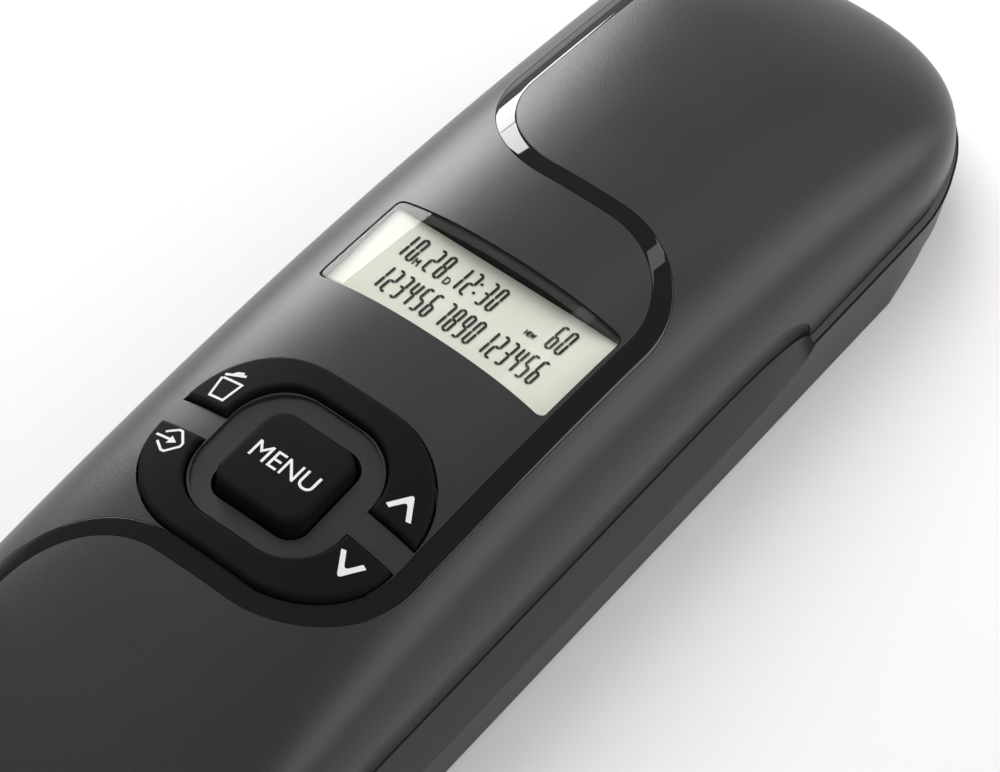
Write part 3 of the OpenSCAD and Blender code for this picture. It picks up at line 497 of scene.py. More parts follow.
groove_t = BAND_T + BAND_FIT
groove = drape(band_lines(np.linspace(-BAND_W / 2, BAND_W / 2, 7), groove_t), top_height, groove_t)
ends = [lift(groove[[row], :, :2], SEAM_Z - GROOVE_UNDER) for row in (0, -1)]
beyond = [end + [0, GROOVE_PAST * way, 0] for end, way in zip(ends, (1, -1))]
groove = np.concatenate([beyond[0], ends[0], groove, ends[1], beyond[1]])
groove_cut = make_piece("groove_cut", slab(lift(groove[..., :2], ABOVE), groove))

jack_cut = make_piece("jack_cut", prism(box_outline(*JACK_CUT), JACK_CUT_LOW, JACK_CUT_TOP))
carve(handset_shell, [window, seat_cut, *key_cuts, menu_cut, dish_cut, groove_cut,
                      scoop_block("scoop_right", 1), scoop_block("scoop_left", -1), jack_cut])
polish(handset_shell, top_height)
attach(handset_shell, "handset")
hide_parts("handset_back")

# %% [markdown]
# ## The gloss band
#
# The band is a polished strip, pressed into its groove until it is flush. Its section is a flat top with two softly
# rounded edges. The profile is carried along the path, and every point takes its height from the shell's formula.

# %% Band
BAND_SUNK = 0.03

band_half = BAND_W / 2 - BAND_FIT
edge_in = np.array([0.0, 0.015, 0.04, 0.075, 0.12])
edge_r = edge_in[-1]
half_offsets = np.concatenate([-band_half + edge_in, np.linspace(-band_half + edge_r, 0, 5)[1:]])
offsets = np.concatenate([half_offsets, -half_offsets[-2::-1]])
from_edge = np.clip(band_half - np.abs(offsets), 0, edge_r)
edge_drop = edge_r - np.sqrt(edge_r**2 - (edge_r - from_edge) ** 2)
band_xy = band_lines(offsets, 0.0)
band_top = drape(band_xy, top_height)
band_top[..., 2] = np.maximum(band_top[..., 2] - BAND_SUNK - edge_drop, SEAM_Z)
band_low = np.minimum(drape(band_xy, top_height, BAND_T), band_top)
gloss_band = make_piece("gloss_band", slab(band_top, band_low), sharp=50)
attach(gloss_band, "handset")
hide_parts("trim_band")

# %% [markdown]
# ## The window
#
# The clear lens is a curved plate that carries the shell's crown across the window. Its rows are the outline shrunk
# towards the middle, so the rounded corners and the bevelled edge come from the same grid.

# %% Clear lens
LENS_FIT, LENS_LOW, BEVEL_DEEP, LENS_ROWS = 0.12, 0.03, 0.25, 12

bevel = np.array([0.0, 0.05, 0.12, 0.22, 0.35])
bevel_drop = BEVEL_DEEP * (1 - np.sqrt(1 - (1 - bevel / bevel[-1]) ** 2))
insets = np.concatenate([bevel, np.linspace(bevel[-1], LENS_LEN / 2 - LENS_FIT, LENS_ROWS)[1:]])
drops = np.concatenate([bevel_drop, np.zeros(LENS_ROWS - 1)])
lens_xy = shrunk_rows(LENS_W - 2 * LENS_FIT, LENS_LEN - 2 * LENS_FIT, LENS_R, insets, (0, LENS_Y), side=24)
lens_top = drape(lens_xy, top_height)
lens_top[..., 2] -= LENS_LOW + drops[:, None]
lens_low = drape(lens_xy, top_height, LENS_T)
clear_lens = make_piece("clear_lens", [
    grid(lens_top, True), grid(lens_low, True), grid(np.stack([lens_top[0], lens_low[0]]), True)])
polish(clear_lens, lambda x, y: top_height(x, y) - LENS_LOW)
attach(clear_lens, "handset")
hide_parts("display_lens")

# %% [markdown]
# ## The curved keys
#
# Each curved key is a bow between two rounded rectangles. The grid runs along the bow and across it, with rows close
# together at the edges, and a point drops near an edge as on a quarter circle, so the key gets its soft rim. A neck
# and a pin below lie in bearings on the chassis, where the key rocks.

# %% Curved keys
KEY_SOFT, KEY_LOW = 0.62, 30.4
PIN_Z, PIN_R, PIN_LEN = 29.6, 1.0, 3.6
NECK_HALF, NECK_LAP = 0.8, 0.2


def soft_drop(distance, r):
    """Drop of a rounded edge of radius r at a distance in from the wall."""
    return r - np.sqrt(np.maximum(r**2 - np.maximum(r - distance, 0) ** 2, 0))


def key_height(x, y):
    """Face of a curved key: the shell's height plus the key's rise."""
    return top_height(x, y) + KEY_RISE


def key_grid(side):
    """Upper side of a curved key: from the inner bow to the outer one, the shell's height plus the rise."""
    inside = bow(EYE_W, EYE_LEN, EYE_R, KEY_GAP / 2)
    outside = bow(RING_W, RING_LEN, RING_R, KEY_GAP / 2)
    width = np.linalg.norm(outside - inside, axis=1)[:, None]
    core = EASE[-1] + (width - 2 * EASE[-1]) * np.linspace(0, 1, 9)[None, 1:-1]
    edge = np.broadcast_to(EASE, (len(width), len(EASE)))
    way = np.concatenate([edge, core, width - edge[:, ::-1]], 1)
    xy = inside[:, None] + (outside - inside)[:, None] * (way / width)[..., None]
    from_rim = np.minimum(way, width - way)
    from_end = xy[..., 1] - KEY_GAP / 2
    corner = np.hypot(np.maximum(KEY_SOFT - from_rim, 0), np.maximum(KEY_SOFT - from_end, 0))
    drop = soft_drop(KEY_SOFT - np.minimum(corner, KEY_SOFT), KEY_SOFT)
    xy = xy * [1, side] + [0, PAD_Y]
    top = drape(xy, key_height)
    top[..., 2] -= drop
    return top


def rod_y(y0, y1, z, r, n=24):
    """Blocks of a round rod along y, over the middle line."""
    turn = np.linspace(0, 2 * np.pi, n, endpoint=False)
    ring = np.stack([r * np.cos(turn), np.zeros(n), z + r * np.sin(turn)], -1)
    return tube(np.stack([ring + [0, y0, 0], ring + [0, y1, 0]]))


curved_keys = {}
for name, side, solid, body in (("upper_key", 1, "upper_menu_key", "upper_menu"),
                                ("lower_key", -1, "lower_menu_key", "lower_menu")):
    pin_y = PAD_Y + side * (RING_LEN + EYE_LEN) / 4
    near, far = pin_y - PIN_LEN / 2, pin_y + PIN_LEN / 2
    neck = prism(box_outline(-NECK_HALF, NECK_HALF, near, far), PIN_Z, KEY_LOW + NECK_LAP)
    key_top = key_grid(side)
    pin = rod_y(near, far, PIN_Z, PIN_R)
    key = make_piece(name, slab(key_top, lift(key_top[..., :2], KEY_LOW)) + neck + pin, sharp=60)
    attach(key, body)
    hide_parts(solid)
    curved_keys[side] = key

# %% [markdown]
# ## The middle key
#
# The square key has nearly upright sides and a soft edge round a face that is a little crowned. It is a stack of
# rounded squares: one list gives how far each one is moved in, and another how high it lies.

# %% Middle key
MENU_TOP, MENU_RISE, MENU_EDGE, MENU_CROWN_R = 7.25, 1.7, 0.8, 150
MENU_FLANGE_Z, MENU_FLANGE_T, MENU_FLANGE = 31.6, 0.8, 1.1
MENU_STEM, MENU_STEM_R, MENU_STEM_Z = 4.0, 2.0, 29.4
FACE_ROWS, FACE_TINY, ALMOST = 8, 0.02, 0.99


def menu_height(x, y):
    """Crown of the middle key: the shell's arch plus the rise, and a gentle fall to the sides."""
    return float(top_height(0, PAD_Y)) + MENU_RISE - (np.square(x) + np.square(y - PAD_Y)) / (2 * MENU_CROWN_R)


edge_turn = np.linspace(0, np.pi / 2, 9)
face_half = MENU_TOP - MENU_EDGE
sizes = np.concatenate([
    np.linspace(FACE_TINY, face_half, FACE_ROWS + 1)[:-1], face_half + MENU_EDGE * np.sin(edge_turn)])
radii = np.minimum(sizes, MENU_R - MENU_EDGE + np.maximum(sizes - face_half, 0))
menu_rows = np.stack([round_rect(2 * s, 2 * s, min(r, s * ALMOST), 8, (0, PAD_Y)) for s, r in zip(sizes, radii)])
menu_z = menu_height(menu_rows[..., 0], menu_rows[..., 1])
menu_z -= np.concatenate([np.zeros(FACE_ROWS), MENU_EDGE * (1 - np.cos(edge_turn))])[:, None]
foot = shrunk_rows(MENU_W, MENU_W, MENU_R, [0.0], (0, PAD_Y), 8)
flange = shrunk_rows(MENU_W + 2 * MENU_FLANGE, MENU_W + 2 * MENU_FLANGE, MENU_R, [0.0], (0, PAD_Y), 8)
stem = shrunk_rows(2 * MENU_STEM, 2 * MENU_STEM, MENU_STEM_R, [0.0], (0, PAD_Y), 8)
levels = [(foot, MENU_FLANGE_Z + MENU_FLANGE_T), (flange, MENU_FLANGE_Z + MENU_FLANGE_T), (flange, MENU_FLANGE_Z),
          (stem, MENU_FLANGE_Z), (stem, MENU_STEM_Z)]
body_rows = np.concatenate([lift(menu_rows, menu_z)] + [lift(row, z) for row, z in levels])
menu_cap = make_piece("menu_cap", tube(body_rows), sharp=60)
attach(menu_cap, "menu")
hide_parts("menu_key")

# %% [markdown]
# ## Lettering
#
# The signs on the keys are printed. A print is made here as a thin slab that follows the surface below it, because a
# shape can be seen from all sides and an image can't be used. Signs are strokes: a path moved to both sides, with
# mitred corners. Words come from Blender's own font, turned into a mesh and fitted to the place where they belong.

# %% Lettering helpers
INK, SUNK = 0.03, 0.1
MITRE_LIMIT = 0.7


def finely(path, n=6):
    """The path with each straight piece cut into n."""
    path = np.asarray(path, float)
    share = np.arange(n)[:, None] / n
    pieces = path[:-1, None] + (path[1:] - path[:-1])[:, None] * share
    return np.concatenate([pieces.reshape(-1, 2), path[-1:]])


def ribbon(path, width):
    """Plan grid of a stroke. At each point the path is moved to both sides along the mean of the two neighbouring
    normals, by half the width over the cosine of half the turn."""
    path = np.asarray(path, float)
    run = np.diff(path, axis=0)
    run /= np.linalg.norm(run, axis=1)[:, None]
    before, after = np.concatenate([run[:1], run]), np.concatenate([run, run[-1:]])
    mean = before + after
    mean /= np.linalg.norm(mean, axis=1)[:, None]
    cosine = np.maximum(np.sum(mean * after, axis=1), MITRE_LIMIT)
    half = np.stack([-mean[:, 1], mean[:, 0]], -1) * (np.broadcast_to(width, len(path)) / 2 / cosine)[:, None]
    return np.stack([path - half, path, path + half])


def inlay(rows, height):
    """Blocks of a print: a plan grid a little above the surface z = height(x, y), and the same grid sunk in it."""
    z = height(rows[..., 0], rows[..., 1])
    return slab(lift(rows, z + INK), lift(rows, z - SUNK))


def word(text, centre, tall, height, wide=None, down=False):
    """Blocks of a word on the surface z = height(x, y), fitted to its height and, if given, its width. A word that
    is read from below is turned half round the y axis."""
    curve = bpy.data.curves.new(text, "FONT")
    curve.body = text
    curve.extrude = 1.0
    holder = bpy.data.objects.new(text, curve)
    scene.collection.objects.link(holder)
    mesh = bpy.data.meshes.new_from_object(holder.evaluated_get(bpy.context.evaluated_depsgraph_get()))
    bpy.data.objects.remove(holder)
    place = vectors(mesh.vertices, "co")
    middle, span = (place.max(0) + place.min(0)) / 2, np.ptp(place, axis=0)
    scale = tall / span[1]
    way = -1 if down else 1
    x = centre[0] + way * (place[:, 0] - middle[0]) * (wide / span[0] if wide else scale)
    y = centre[1] + (place[:, 1] - middle[1]) * scale
    z = height(x, y) + way * np.where(place[:, 2] > 0, INK, -SUNK)
    corner = numbers(mesh.loops, "vertex_index")
    start, size = numbers(mesh.polygons, "loop_start"), numbers(mesh.polygons, "loop_total")
    points = np.stack([x, y, z], -1)
    return [(points, corner[start[size == n][:, None] + np.arange(n)]) for n in np.unique(size)]


# %% [markdown]
# ## Signs on the keys
#
# The upper key carries a bin and an arrow up, the lower one an arrow that enters a frame and an arrow down, and the
# middle key a word. Arrows are drawn between an outer and an inner line, so that their tips can be thicker.

# %% Key signs
SIGN_W, LID_W = 0.36, 0.42
ARROW_OUT = np.array([[-2.08, -3.2], [-0.28, -0.2], [0, 0], [0.28, -0.2], [2.08, -3.2]])
ARROW_IN = np.array([[-1.4, -3.44], [-0.32, -1.68], [0, -1.44], [0.32, -1.68], [1.4, -3.44]])
UP_TIP, DOWN_TIP = (15.47, -13.4), (15.39, -28.7)
BIN_AT = np.array([-15.38, -13.88])
ENTER_AT, ENTER_W, ENTER_H = np.array([-15.53, -25.9]), 1.845, 2.05
MENU_AT, MENU_WORD_H, MENU_WORD_W = (0.16, -21.17), 2.9, 10.48


def arrow(tip, way):
    """Arrow head between its outer and inner lines, pointing up (1) or down (-1)."""
    out, inside = [finely(line * [1, way] + tip) for line in (ARROW_OUT, ARROW_IN)]
    return inlay(np.stack([out, (out + inside) / 2, inside]), key_height)


def stroke(path, width):
    """A stroke on a curved key."""
    return inlay(ribbon(finely(path), width), key_height)


bin_body = BIN_AT + [(-1.55, 0), (1.75, 0), (1.17, -3.32), (-1.15, -3.32), (-1.75, 0)]
bin_lid = BIN_AT + [(-1.75, 0.56), (1.25, 1.48)]
bin_handle = BIN_AT + [(-0.67, 1.04), (-0.15, 1.5), (0.5, 1.7), (0.62, 1.4)]
upper_half = np.array([[-1, 0.42], [-0.15, 0.93], [0.15, 0.93], [0.93, 0.15]])
enter_frame = ENTER_AT + [ENTER_W, ENTER_H] * np.concatenate([upper_half, upper_half[::-1] * [1, -1]])
enter_shaft = ENTER_AT + [(-2.8, 0.05), (-0.4, 0.05)]
enter_head = ENTER_AT + np.array([
    [[-0.45, 0.7], [0.75, 0.02]], [[-0.45, 0.0], [0.76, 0.0]], [[-0.45, -0.7], [0.75, -0.02]]])
upper_signs = make_piece("upper_key_signs", stroke(bin_body, SIGN_W) + stroke(bin_lid, LID_W)
                         + stroke(bin_handle, SIGN_W) + arrow(UP_TIP, 1))
lower_signs = make_piece("lower_key_signs", stroke(enter_frame, SIGN_W) + stroke(enter_shaft, SIGN_W)
                         + inlay(enter_head, key_height) + arrow(DOWN_TIP, -1))
menu_sign = make_piece("middle_key_word", word("MENU", MENU_AT, MENU_WORD_H, menu_height, wide=MENU_WORD_W))
for sign, body in ((upper_signs, "upper_menu"), (lower_signs, "lower_menu"), (menu_sign, "menu")):
    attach(sign, body)

# %% [markdown]
# ## Signs on the dial keys
#
# The dial is on the face that rests on the base, so its words are read from below. Each key's face is a part of a
# cylinder along y, and its sign moves with the key.

# %% Dial signs
DIAL_CROWN = 30.0
DIAL_WORDS = {f"key_{n}": str(n) for n in range(10)} | {
    "key_star": "*", "key_hash": "#", "flash_key": "FLASH", "mute_key": "MUTE", "redial_key": "REDIAL"}
DIGIT_TALL, WORD_TALL, STAR_TALL = 3.6, 1.5, 2.0
dial_signs = []
for name, text in DIAL_WORDS.items():
    low, high = [np.array(corner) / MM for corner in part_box(name)]
    middle = (low + high) / 2

    def dial_face(x, y, middle=middle, low=low):
        """Face of a dial key: the lower side of a cylinder."""
        return low[2] + DIAL_CROWN - np.sqrt(DIAL_CROWN**2 - (x - middle[0]) ** 2)

    tall = WORD_TALL if len(text) > 1 else STAR_TALL if text == "*" else DIGIT_TALL
    sign = make_piece(f"{name}_sign", word(text, middle[:2], tall, dial_face, down=True))
    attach(sign, f"{name}_cap")
    dial_signs.append(sign)

# %% [markdown]
# ## The display
#
# Behind the lens lies the display: a pale reflecting panel under a thin glass. Both are plain prisms, as the real
# ones are cut from flat sheets. The glass lies just over the panel, with a gap, so that their faces don't coincide.

# %% Display panel and glass
GLASS_T, GLASS_UP, FIGURES_DOWN = 0.5, 0.05, 0.4
GLASS_LIFT, UNDER_EDGE = 0.3, 0.05
panel_low, panel_high = [np.array(corner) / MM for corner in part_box("display_module")]
panel_outline = round_rect(window_w + 2 * UNDER_EDGE, window_len + 2 * UNDER_EDGE, SEAT_R, centre=window_at)
glass_z = panel_high[2] + GLASS_LIFT
display_panel = make_piece("display_panel", prism(panel_outline, panel_low[2], glass_z - GLASS_T - GLASS_UP))
display_glass = make_piece("display_glass", prism(panel_outline, glass_z - GLASS_T, glass_z))
for piece in (display_panel, display_glass):
    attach(piece, "handset")
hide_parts("display_module")
print("glass at", glass_z.round(2), "mm")

# %% [markdown]
# ## The display's chassis
#
# The lens is thick and bends the light, so the display under it looks larger and nearer than it is. The clear finish
# doesn't bend light, so the panel itself is made to fill the window. The chassis that holds it is a welded copy of
# its solid, and the panel's room is cut from it.

# %% Display chassis
display_chassis = bpy.data.objects.new("display_chassis", solids["display_frame"].data.copy())
scene.collection.objects.link(display_chassis)
work = bmesh.new()
work.from_mesh(display_chassis.data)
bmesh.ops.remove_doubles(work, verts=work.verts, dist=WELD)
work.to_mesh(display_chassis.data)
work.free()
room = make_piece("display_room", prism(round_rect(
    window_w + 3 * UNDER_EDGE, window_len + 3 * UNDER_EDGE, SEAT_R, centre=window_at), panel_low[2], ABOVE))
carve(display_chassis, [room])
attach(display_chassis, "handset")
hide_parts("display_frame")

# %% [markdown]
# ## The display's figures
#
# The dark bars lie inside the glass. Every figure is made of some of seven bars, so one small table draws them all.
# The bars lie a little above the panel and cast a soft shadow on it, as in a real display.

# %% Display figures
BARS = {"a": ((0, 1), (1, 1)), "b": ((1, 0.5), (1, 1)), "c": ((1, 0), (1, 0.5)), "d": ((0, 0), (1, 0)),
        "e": ((0, 0), (0, 0.5)), "f": ((0, 0.5), (0, 1)), "g": ((0, 0.5), (1, 0.5))}
LIT = {"0": "abcdef", "1": "bc", "2": "abged", "3": "abgcd", "4": "fgbc", "5": "afgcd", "6": "afgedc", "7": "abc",
       "8": "abcdefg", "9": "abcdfg"}
FIGURE_W, FIGURE_H, FIGURE_LEAN = 0.82, 4.3, 0.065
BAR_W, BAR_GAP = 0.34, 0.05
BAR_TAPER = np.array([0.2, 1, 1, 0.2])
UPPER_ROW_Y, LOWER_ROW_Y = 19.1, 12.8
UPPER_ROW = (("1", -14.82), ("0", -13.01), ("2", -10.02), ("8", -8.17), ("1", -5.31), ("2", -3.5), ("3", -0.77),
             ("0", 0.97), ("6", 11.38), ("0", 12.99))
LOWER_ROW, LOWER_X, PITCH, SPACE = "123456 7890 123456", -14.0, 1.72, 0.575
COLON_X, COLON_Y, DOT = -1.78, (1.15, 3.0), 0.36
SMALL_WORDS = (("M", -11.27, 19.6, 1.3, 0.8), ("D", -5.95, 19.6, 1.3, 0.85), ("NEW", 8.73, 19.45, 0.9, 1.7))


def figure_height(x, y):
    """Level of the bars in the glass."""
    return np.full(np.shape(x), glass_z - FIGURES_DOWN)


def figure(digit, x, y):
    """Blocks of a figure: its bars as strokes that narrow at both ends."""
    blocks = []
    for bar in LIT[digit]:
        a, b = [np.array([x + FIGURE_W * across + FIGURE_LEAN * FIGURE_H * up, y + FIGURE_H * up])
                for across, up in BARS[bar]]
        along = (b - a) / np.linalg.norm(b - a)
        ends = [BAR_GAP, BAR_GAP + BAR_W / 2]
        path = [a + along * ends[0], a + along * ends[1], b - along * ends[1], b - along * ends[0]]
        blocks += inlay(ribbon(path, BAR_W * BAR_TAPER), figure_height)
    return blocks


figures = [block for digit, x in UPPER_ROW for block in figure(digit, x, UPPER_ROW_Y)]
place_x = LOWER_X
for digit in LOWER_ROW:
    if digit != " ":
        figures += figure(digit, place_x, LOWER_ROW_Y)
    place_x += SPACE if digit == " " else PITCH
for up in COLON_Y:
    dot_y = UPPER_ROW_Y + up
    figures += inlay(ribbon([(COLON_X, dot_y - DOT / 2), (COLON_X, dot_y + DOT / 2)], DOT), figure_height)
for text, x, y, tall, wide in SMALL_WORDS:
    figures += word(text, (x, y), tall, figure_height, wide)
display_figures = make_piece("display_figures", figures)
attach(display_figures, "handset")

# %% [markdown]
# ## The base
#
# The base is a low tray. Its rim shows round the handset as a sloping strip between two thin dark lines: the seam
# above it and a groove below it. The skirt is the handset's outline, a little larger, stacked in rows that draw in
# towards the foot at the ends. The pads' wells, the hook's collar, the notch for the cord and the jacks' recesses are
# joined or cut as on the real moulding, because they show when the handset is lifted.

# %% Base cover
FOOT_Z, DECK_Z, DECK_UNDER = 0.6, 11.0, 9.0
SIDE_DRAFT, END_DRAFT, BASE_WALL = 0.4, 2.4, 2.2
TUCK, TUCK_FROM, TUCK_TO, TUCK_UNDER = 2.0, 76.0, 88.0, 10.6
RIM_IN = np.array([0.0, 0.04, 0.34, 0.32, 1.12])
RIM_DOWN = np.array([0.74, 0.68, 0.8, 0.52, 0.0])
RIM_TUCK, RIM_FROM, RIM_TO, WALL_ROWS = 0.6, 86.0, 95.0, 14
EAR_Y, EAR_R, MOUTH_Y, MOUTH_R = 76.0, 19.0, -78.0, 15.0
WELL_Z, WELL_FIT, WELL_T, LAP = 5.8, 0.8, 1.4, 0.5
NOTCH_HALF, NOTCH_Z = 7.0, 6.7
HOOK_AT, HOOK_HOLE_R, HOOK_ROOM_R, COLLAR_R, COLLAR_Z = (14.0, 38.0), 3.1, 4.7, 6.0, 11.9
PLATE_TOP, SCREW_HOLE_R, BOSS_R, BOSS_LAP = 2.6, 1.25, 3.0, 0.4
JACK_ROOMS, JACK_ROOM_TOP = ((-6, 6, 98.2, 109.4), (-28.7, -17.5, -73.0, -63.0)), 9.9
JACK_MOUTHS, JACK_LOW, JACK_HIGH = ((-4.9, 4.9, 107.3, 117.3), (-36.6, -26.6, -71.9, -64.1)), 3.2, 9.2
NOTCH_WALL_END, FAR_OUT = -106, -200
SCREWS = [(x, y) for x in (-22.0, 22.0) for y in (-50.0, 50.0)]
BASE_HALF, BASE_END = HALF_W + LEDGE_W, END_DEPTH + LEDGE_W


def base_ring(side, end):
    """Outline of the base, moved in by side at its long sides and by up to end at the tips of its rounded ends."""
    ring = plan_ring(-LEDGE_W)
    past = np.maximum(np.abs(ring[:, 1]) - STRAIGHT_Y, 0) / BASE_END
    return np.stack([ring[:, 0] * (1 - side / BASE_HALF), ring[:, 1] - np.sign(ring[:, 1]) * past * end], -1)


def skirt_ring(soft, tuck):
    """Outline of the base, moved in along its own normals: all round by soft, and at its ends by tuck, which grows
    evenly from TUCK_FROM to TUCK_TO. The less a row is tucked, the more of the rim's own tuck it gets."""
    ring = plan_ring(-LEDGE_W)
    along = np.roll(ring, -1, 0) - np.roll(ring, 1, 0)
    outwards = np.stack([along[:, 1], -along[:, 0]], -1) / np.linalg.norm(along, axis=1)[:, None]
    share = np.clip((np.abs(ring[:, 1]) - TUCK_FROM) / (TUCK_TO - TUCK_FROM), 0, 1)
    rim_share = (1 - tuck / TUCK) * np.clip((np.abs(ring[:, 1]) - RIM_FROM) / (RIM_TO - RIM_FROM), 0, 1)
    return ring - outwards * (soft + tuck * share + RIM_TUCK * rim_share)[:, None]


skirt_z = np.concatenate([np.linspace(FOOT_Z, DECK_Z - RIM_DOWN[0], WALL_ROWS), DECK_Z - RIM_DOWN[1:]])
tucks = TUCK * np.clip((TUCK_UNDER - skirt_z) / (TUCK_UNDER - FOOT_Z), 0, 1)
softs = np.concatenate([np.zeros(WALL_ROWS), RIM_IN[1:]])
skirt = np.stack([lift(skirt_ring(soft, tuck), z) for soft, tuck, z in zip(softs, tucks, skirt_z)])
base_skin = make_piece("base_skin", tube(skirt))
cavity = make_piece("cavity", prism(base_ring(SIDE_DRAFT + BASE_WALL, END_DRAFT + BASE_WALL), 0, DECK_UNDER))
carve(base_skin, [cavity])


def prisms(outlines, low, high):
    """Blocks of prisms over several outlines, between the same two levels."""
    return [block for outline in outlines for block in prism(outline, low, high)]


def pads(grow):
    """Outlines of the ear pad and the mouth pad, grown all round."""
    return [circle(EAR_R + grow, (0, EAR_Y)), circle(MOUTH_R + grow, (0, MOUTH_Y))]


cups = prisms(pads(WELL_FIT + WELL_T), WELL_Z - WELL_T, DECK_Z - LAP)
cups += prism(circle(COLLAR_R, HOOK_AT, 64), DECK_UNDER + LAP, COLLAR_Z)
cups += prisms([circle(BOSS_R, place, 32) for place in SCREWS], PLATE_TOP, DECK_UNDER + BOSS_LAP)
notch_outline = box_outline(-NOTCH_HALF - WELL_T, NOTCH_HALF + WELL_T, NOTCH_WALL_END, MOUTH_Y - MOUTH_R)
notch = prism(notch_outline, NOTCH_Z - WELL_T, DECK_Z - LAP)
carve(base_skin, [make_piece("cups", cups), make_piece("notch_wall", notch)], join=True)

wells = prisms(pads(WELL_FIT), WELL_Z, ABOVE) + prism(circle(HOOK_HOLE_R, HOOK_AT, 48), 0, ABOVE)
wells += prisms([circle(SCREW_HOLE_R, place, 24) for place in SCREWS], 0, DECK_UNDER - BOSS_LAP)
rooms = prism(circle(HOOK_ROOM_R, HOOK_AT, 48), 0, DECK_Z)
rooms += prisms([box_outline(*room) for room in JACK_ROOMS], PLATE_TOP, JACK_ROOM_TOP)
mouths = prisms([box_outline(*mouth) for mouth in JACK_MOUTHS], JACK_LOW, JACK_HIGH)
mouths += prism(box_outline(-NOTCH_HALF, NOTCH_HALF, FAR_OUT, MOUTH_Y), NOTCH_Z, ABOVE)
carve(base_skin, [
    make_piece("wells", wells), make_piece("rooms", rooms), make_piece("mouths", mouths),
    scoop_block("base_scoop_right", 1), scoop_block("base_scoop_left", -1)])
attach(base_skin, "base")
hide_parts("base_cover")

# %% [markdown]
# ## The stage and the light
#
# The phone lies on a pale floor under a soft sky, with six lamps. Two white cards low at the back left are only
# mirrored: they draw the streak along the left shoulder and the white patch where the band bends. A dim strip at the
# back draws the grey patch on the band's other bend, and a wide panel lights the right shoulder. Each of these stands
# where the shiny piece mirrors it to the camera. The key light from the back left and the fill from the front aren't
# mirrored, so they only shade.

# %% Floor
FLOOR_HALF = 6.0
floor_points = np.array([[[-1, -1, 0], [1, -1, 0]], [[-1, 1, 0], [1, 1, 0]]], float) * FLOOR_HALF / MM
floor = make_piece("floor", [grid(floor_points)])

# %% Lamps
LAMP_AIM, LAMP_AWAY = Vector((0, 0.01, 0.03)), 1.5


def panel(name, turn, height, wide, tall, watts, lights=True, mirrored=True):
    """Area lamp in the direction turn (degrees from +X towards +Y) and height, facing the phone. One that isn't
    mirrored gives light only, as a lamp behind a polarising sheet does. One that doesn't light is a white card."""
    a, e = math.radians(turn), math.radians(height)
    direction = Vector((math.cos(a) * math.cos(e), math.sin(a) * math.cos(e), math.sin(e)))
    lamp = bpy.data.lights.new(name, "AREA")
    lamp.shape = "RECTANGLE"
    lamp.size, lamp.size_y = wide, tall
    lamp.energy = watts
    holder = bpy.data.objects.new(name, lamp)
    holder.location = LAMP_AIM + direction * LAMP_AWAY
    holder.rotation_euler = direction.to_track_quat("Z", "Y").to_euler()
    holder.visible_diffuse, holder.visible_glossy = lights, mirrored
    scene.collection.objects.link(holder)
    print(name, "at", [round(v, 2) for v in holder.location])


panel("key_light", turn=152, height=51, wide=1.2, tall=1.2, watts=20.5, mirrored=False)
panel("low_card", turn=147, height=11.5, wide=0.74, tall=0.31, watts=8.5, lights=False)
panel("upper_card", turn=143, height=22.5, wide=0.62, tall=0.26, watts=5.5, lights=False)
panel("back_strip", turn=92, height=47, wide=0.16, tall=0.9, watts=0.8)
panel("right_panel", turn=38, height=24, wide=2.0, tall=0.66, watts=11.5)
panel("front_fill", turn=-70, height=50, wide=1.5, tall=1.5, watts=4.5, mirrored=False)

# %% [markdown]
# ## Shader expressions
#
# A finish is a small tree of nodes. Writing every Math node by hand hides the idea, so a socket is wrapped in a class
# that knows plus, minus and times. Any other node comes from one method that takes its settings and inputs.


# %% Shader helper
class Wire:
    """A node socket that can be used in a Python expression."""

    def __init__(self, tree, socket):
        self.tree, self.socket = tree, socket

    def math(self, operation, *values):
        made = self.tree.node("ShaderNodeMath", {"operation": operation}, dict(enumerate(values)))
        return made.out(0)

    def __add__(self, other):
        return self.math("ADD", self, other)

    def __sub__(self, other):
        return self.math("SUBTRACT", self, other)

    def __rsub__(self, other):
        return self.math("SUBTRACT", other, self)

    def __mul__(self, other):
        return self.math("MULTIPLY", self, other)

    __radd__ = __add__
    __rmul__ = __mul__


class Made:
    """A node that was made, with its outputs as wires."""

    def __init__(self, tree, node):
        self.tree, self.made = tree, node

    def out(self, key):
        return Wire(self.tree, self.made.outputs[key])


class Finish:
    """Node tree of one material. node() makes any node: settings first, then inputs, as values or wires."""

    def __init__(self, name, world=None):
        owner = world or bpy.data.materials.new(name)
        owner.use_nodes = True
        self.owner, self.nodes, self.links = owner, owner.node_tree.nodes, owner.node_tree.links
        self.nodes.clear()

    def node(self, kind, settings=None, inputs=None):
        node = self.nodes.new(kind)
        for key, value in (settings or {}).items():
            setattr(node, key, value)
        for key, value in (inputs or {}).items():
            if isinstance(value, Wire):
                self.links.new(value.socket, node.inputs[key])
            else:
                node.inputs[key].default_value = value
        return Made(self, node)

    def place(self):
        return self.node("ShaderNodeTexCoord").out("Object")

    def noise(self, scale, detail=2.0, roughness=0.5):
        return self.node("ShaderNodeTexNoise", None, {
            "Vector": self.place(), "Scale": scale, "Detail": detail, "Roughness": roughness}).out("Fac")

    def mix(self, share, a, b):
        return self.node("ShaderNodeMix", {"data_type": "RGBA"}, {0: share, 6: a, 7: b}).out(2)

    def bump(self, height, strength, distance):
        return self.node("ShaderNodeBump", None, {
            "Height": height, "Strength": strength, "Distance": distance}).out("Normal")

    def end(self, shader, kind="ShaderNodeOutputMaterial"):
        self.node(kind, None, {"Surface": shader})
        return self.owner


def grey(value):
    """A grey in linear light."""
    return (value, value, value, 1.0)


def scaled(colour, share):
    """A colour made darker or lighter by a share."""
    return tuple(c * share for c in colour[:3]) + (1.0,)


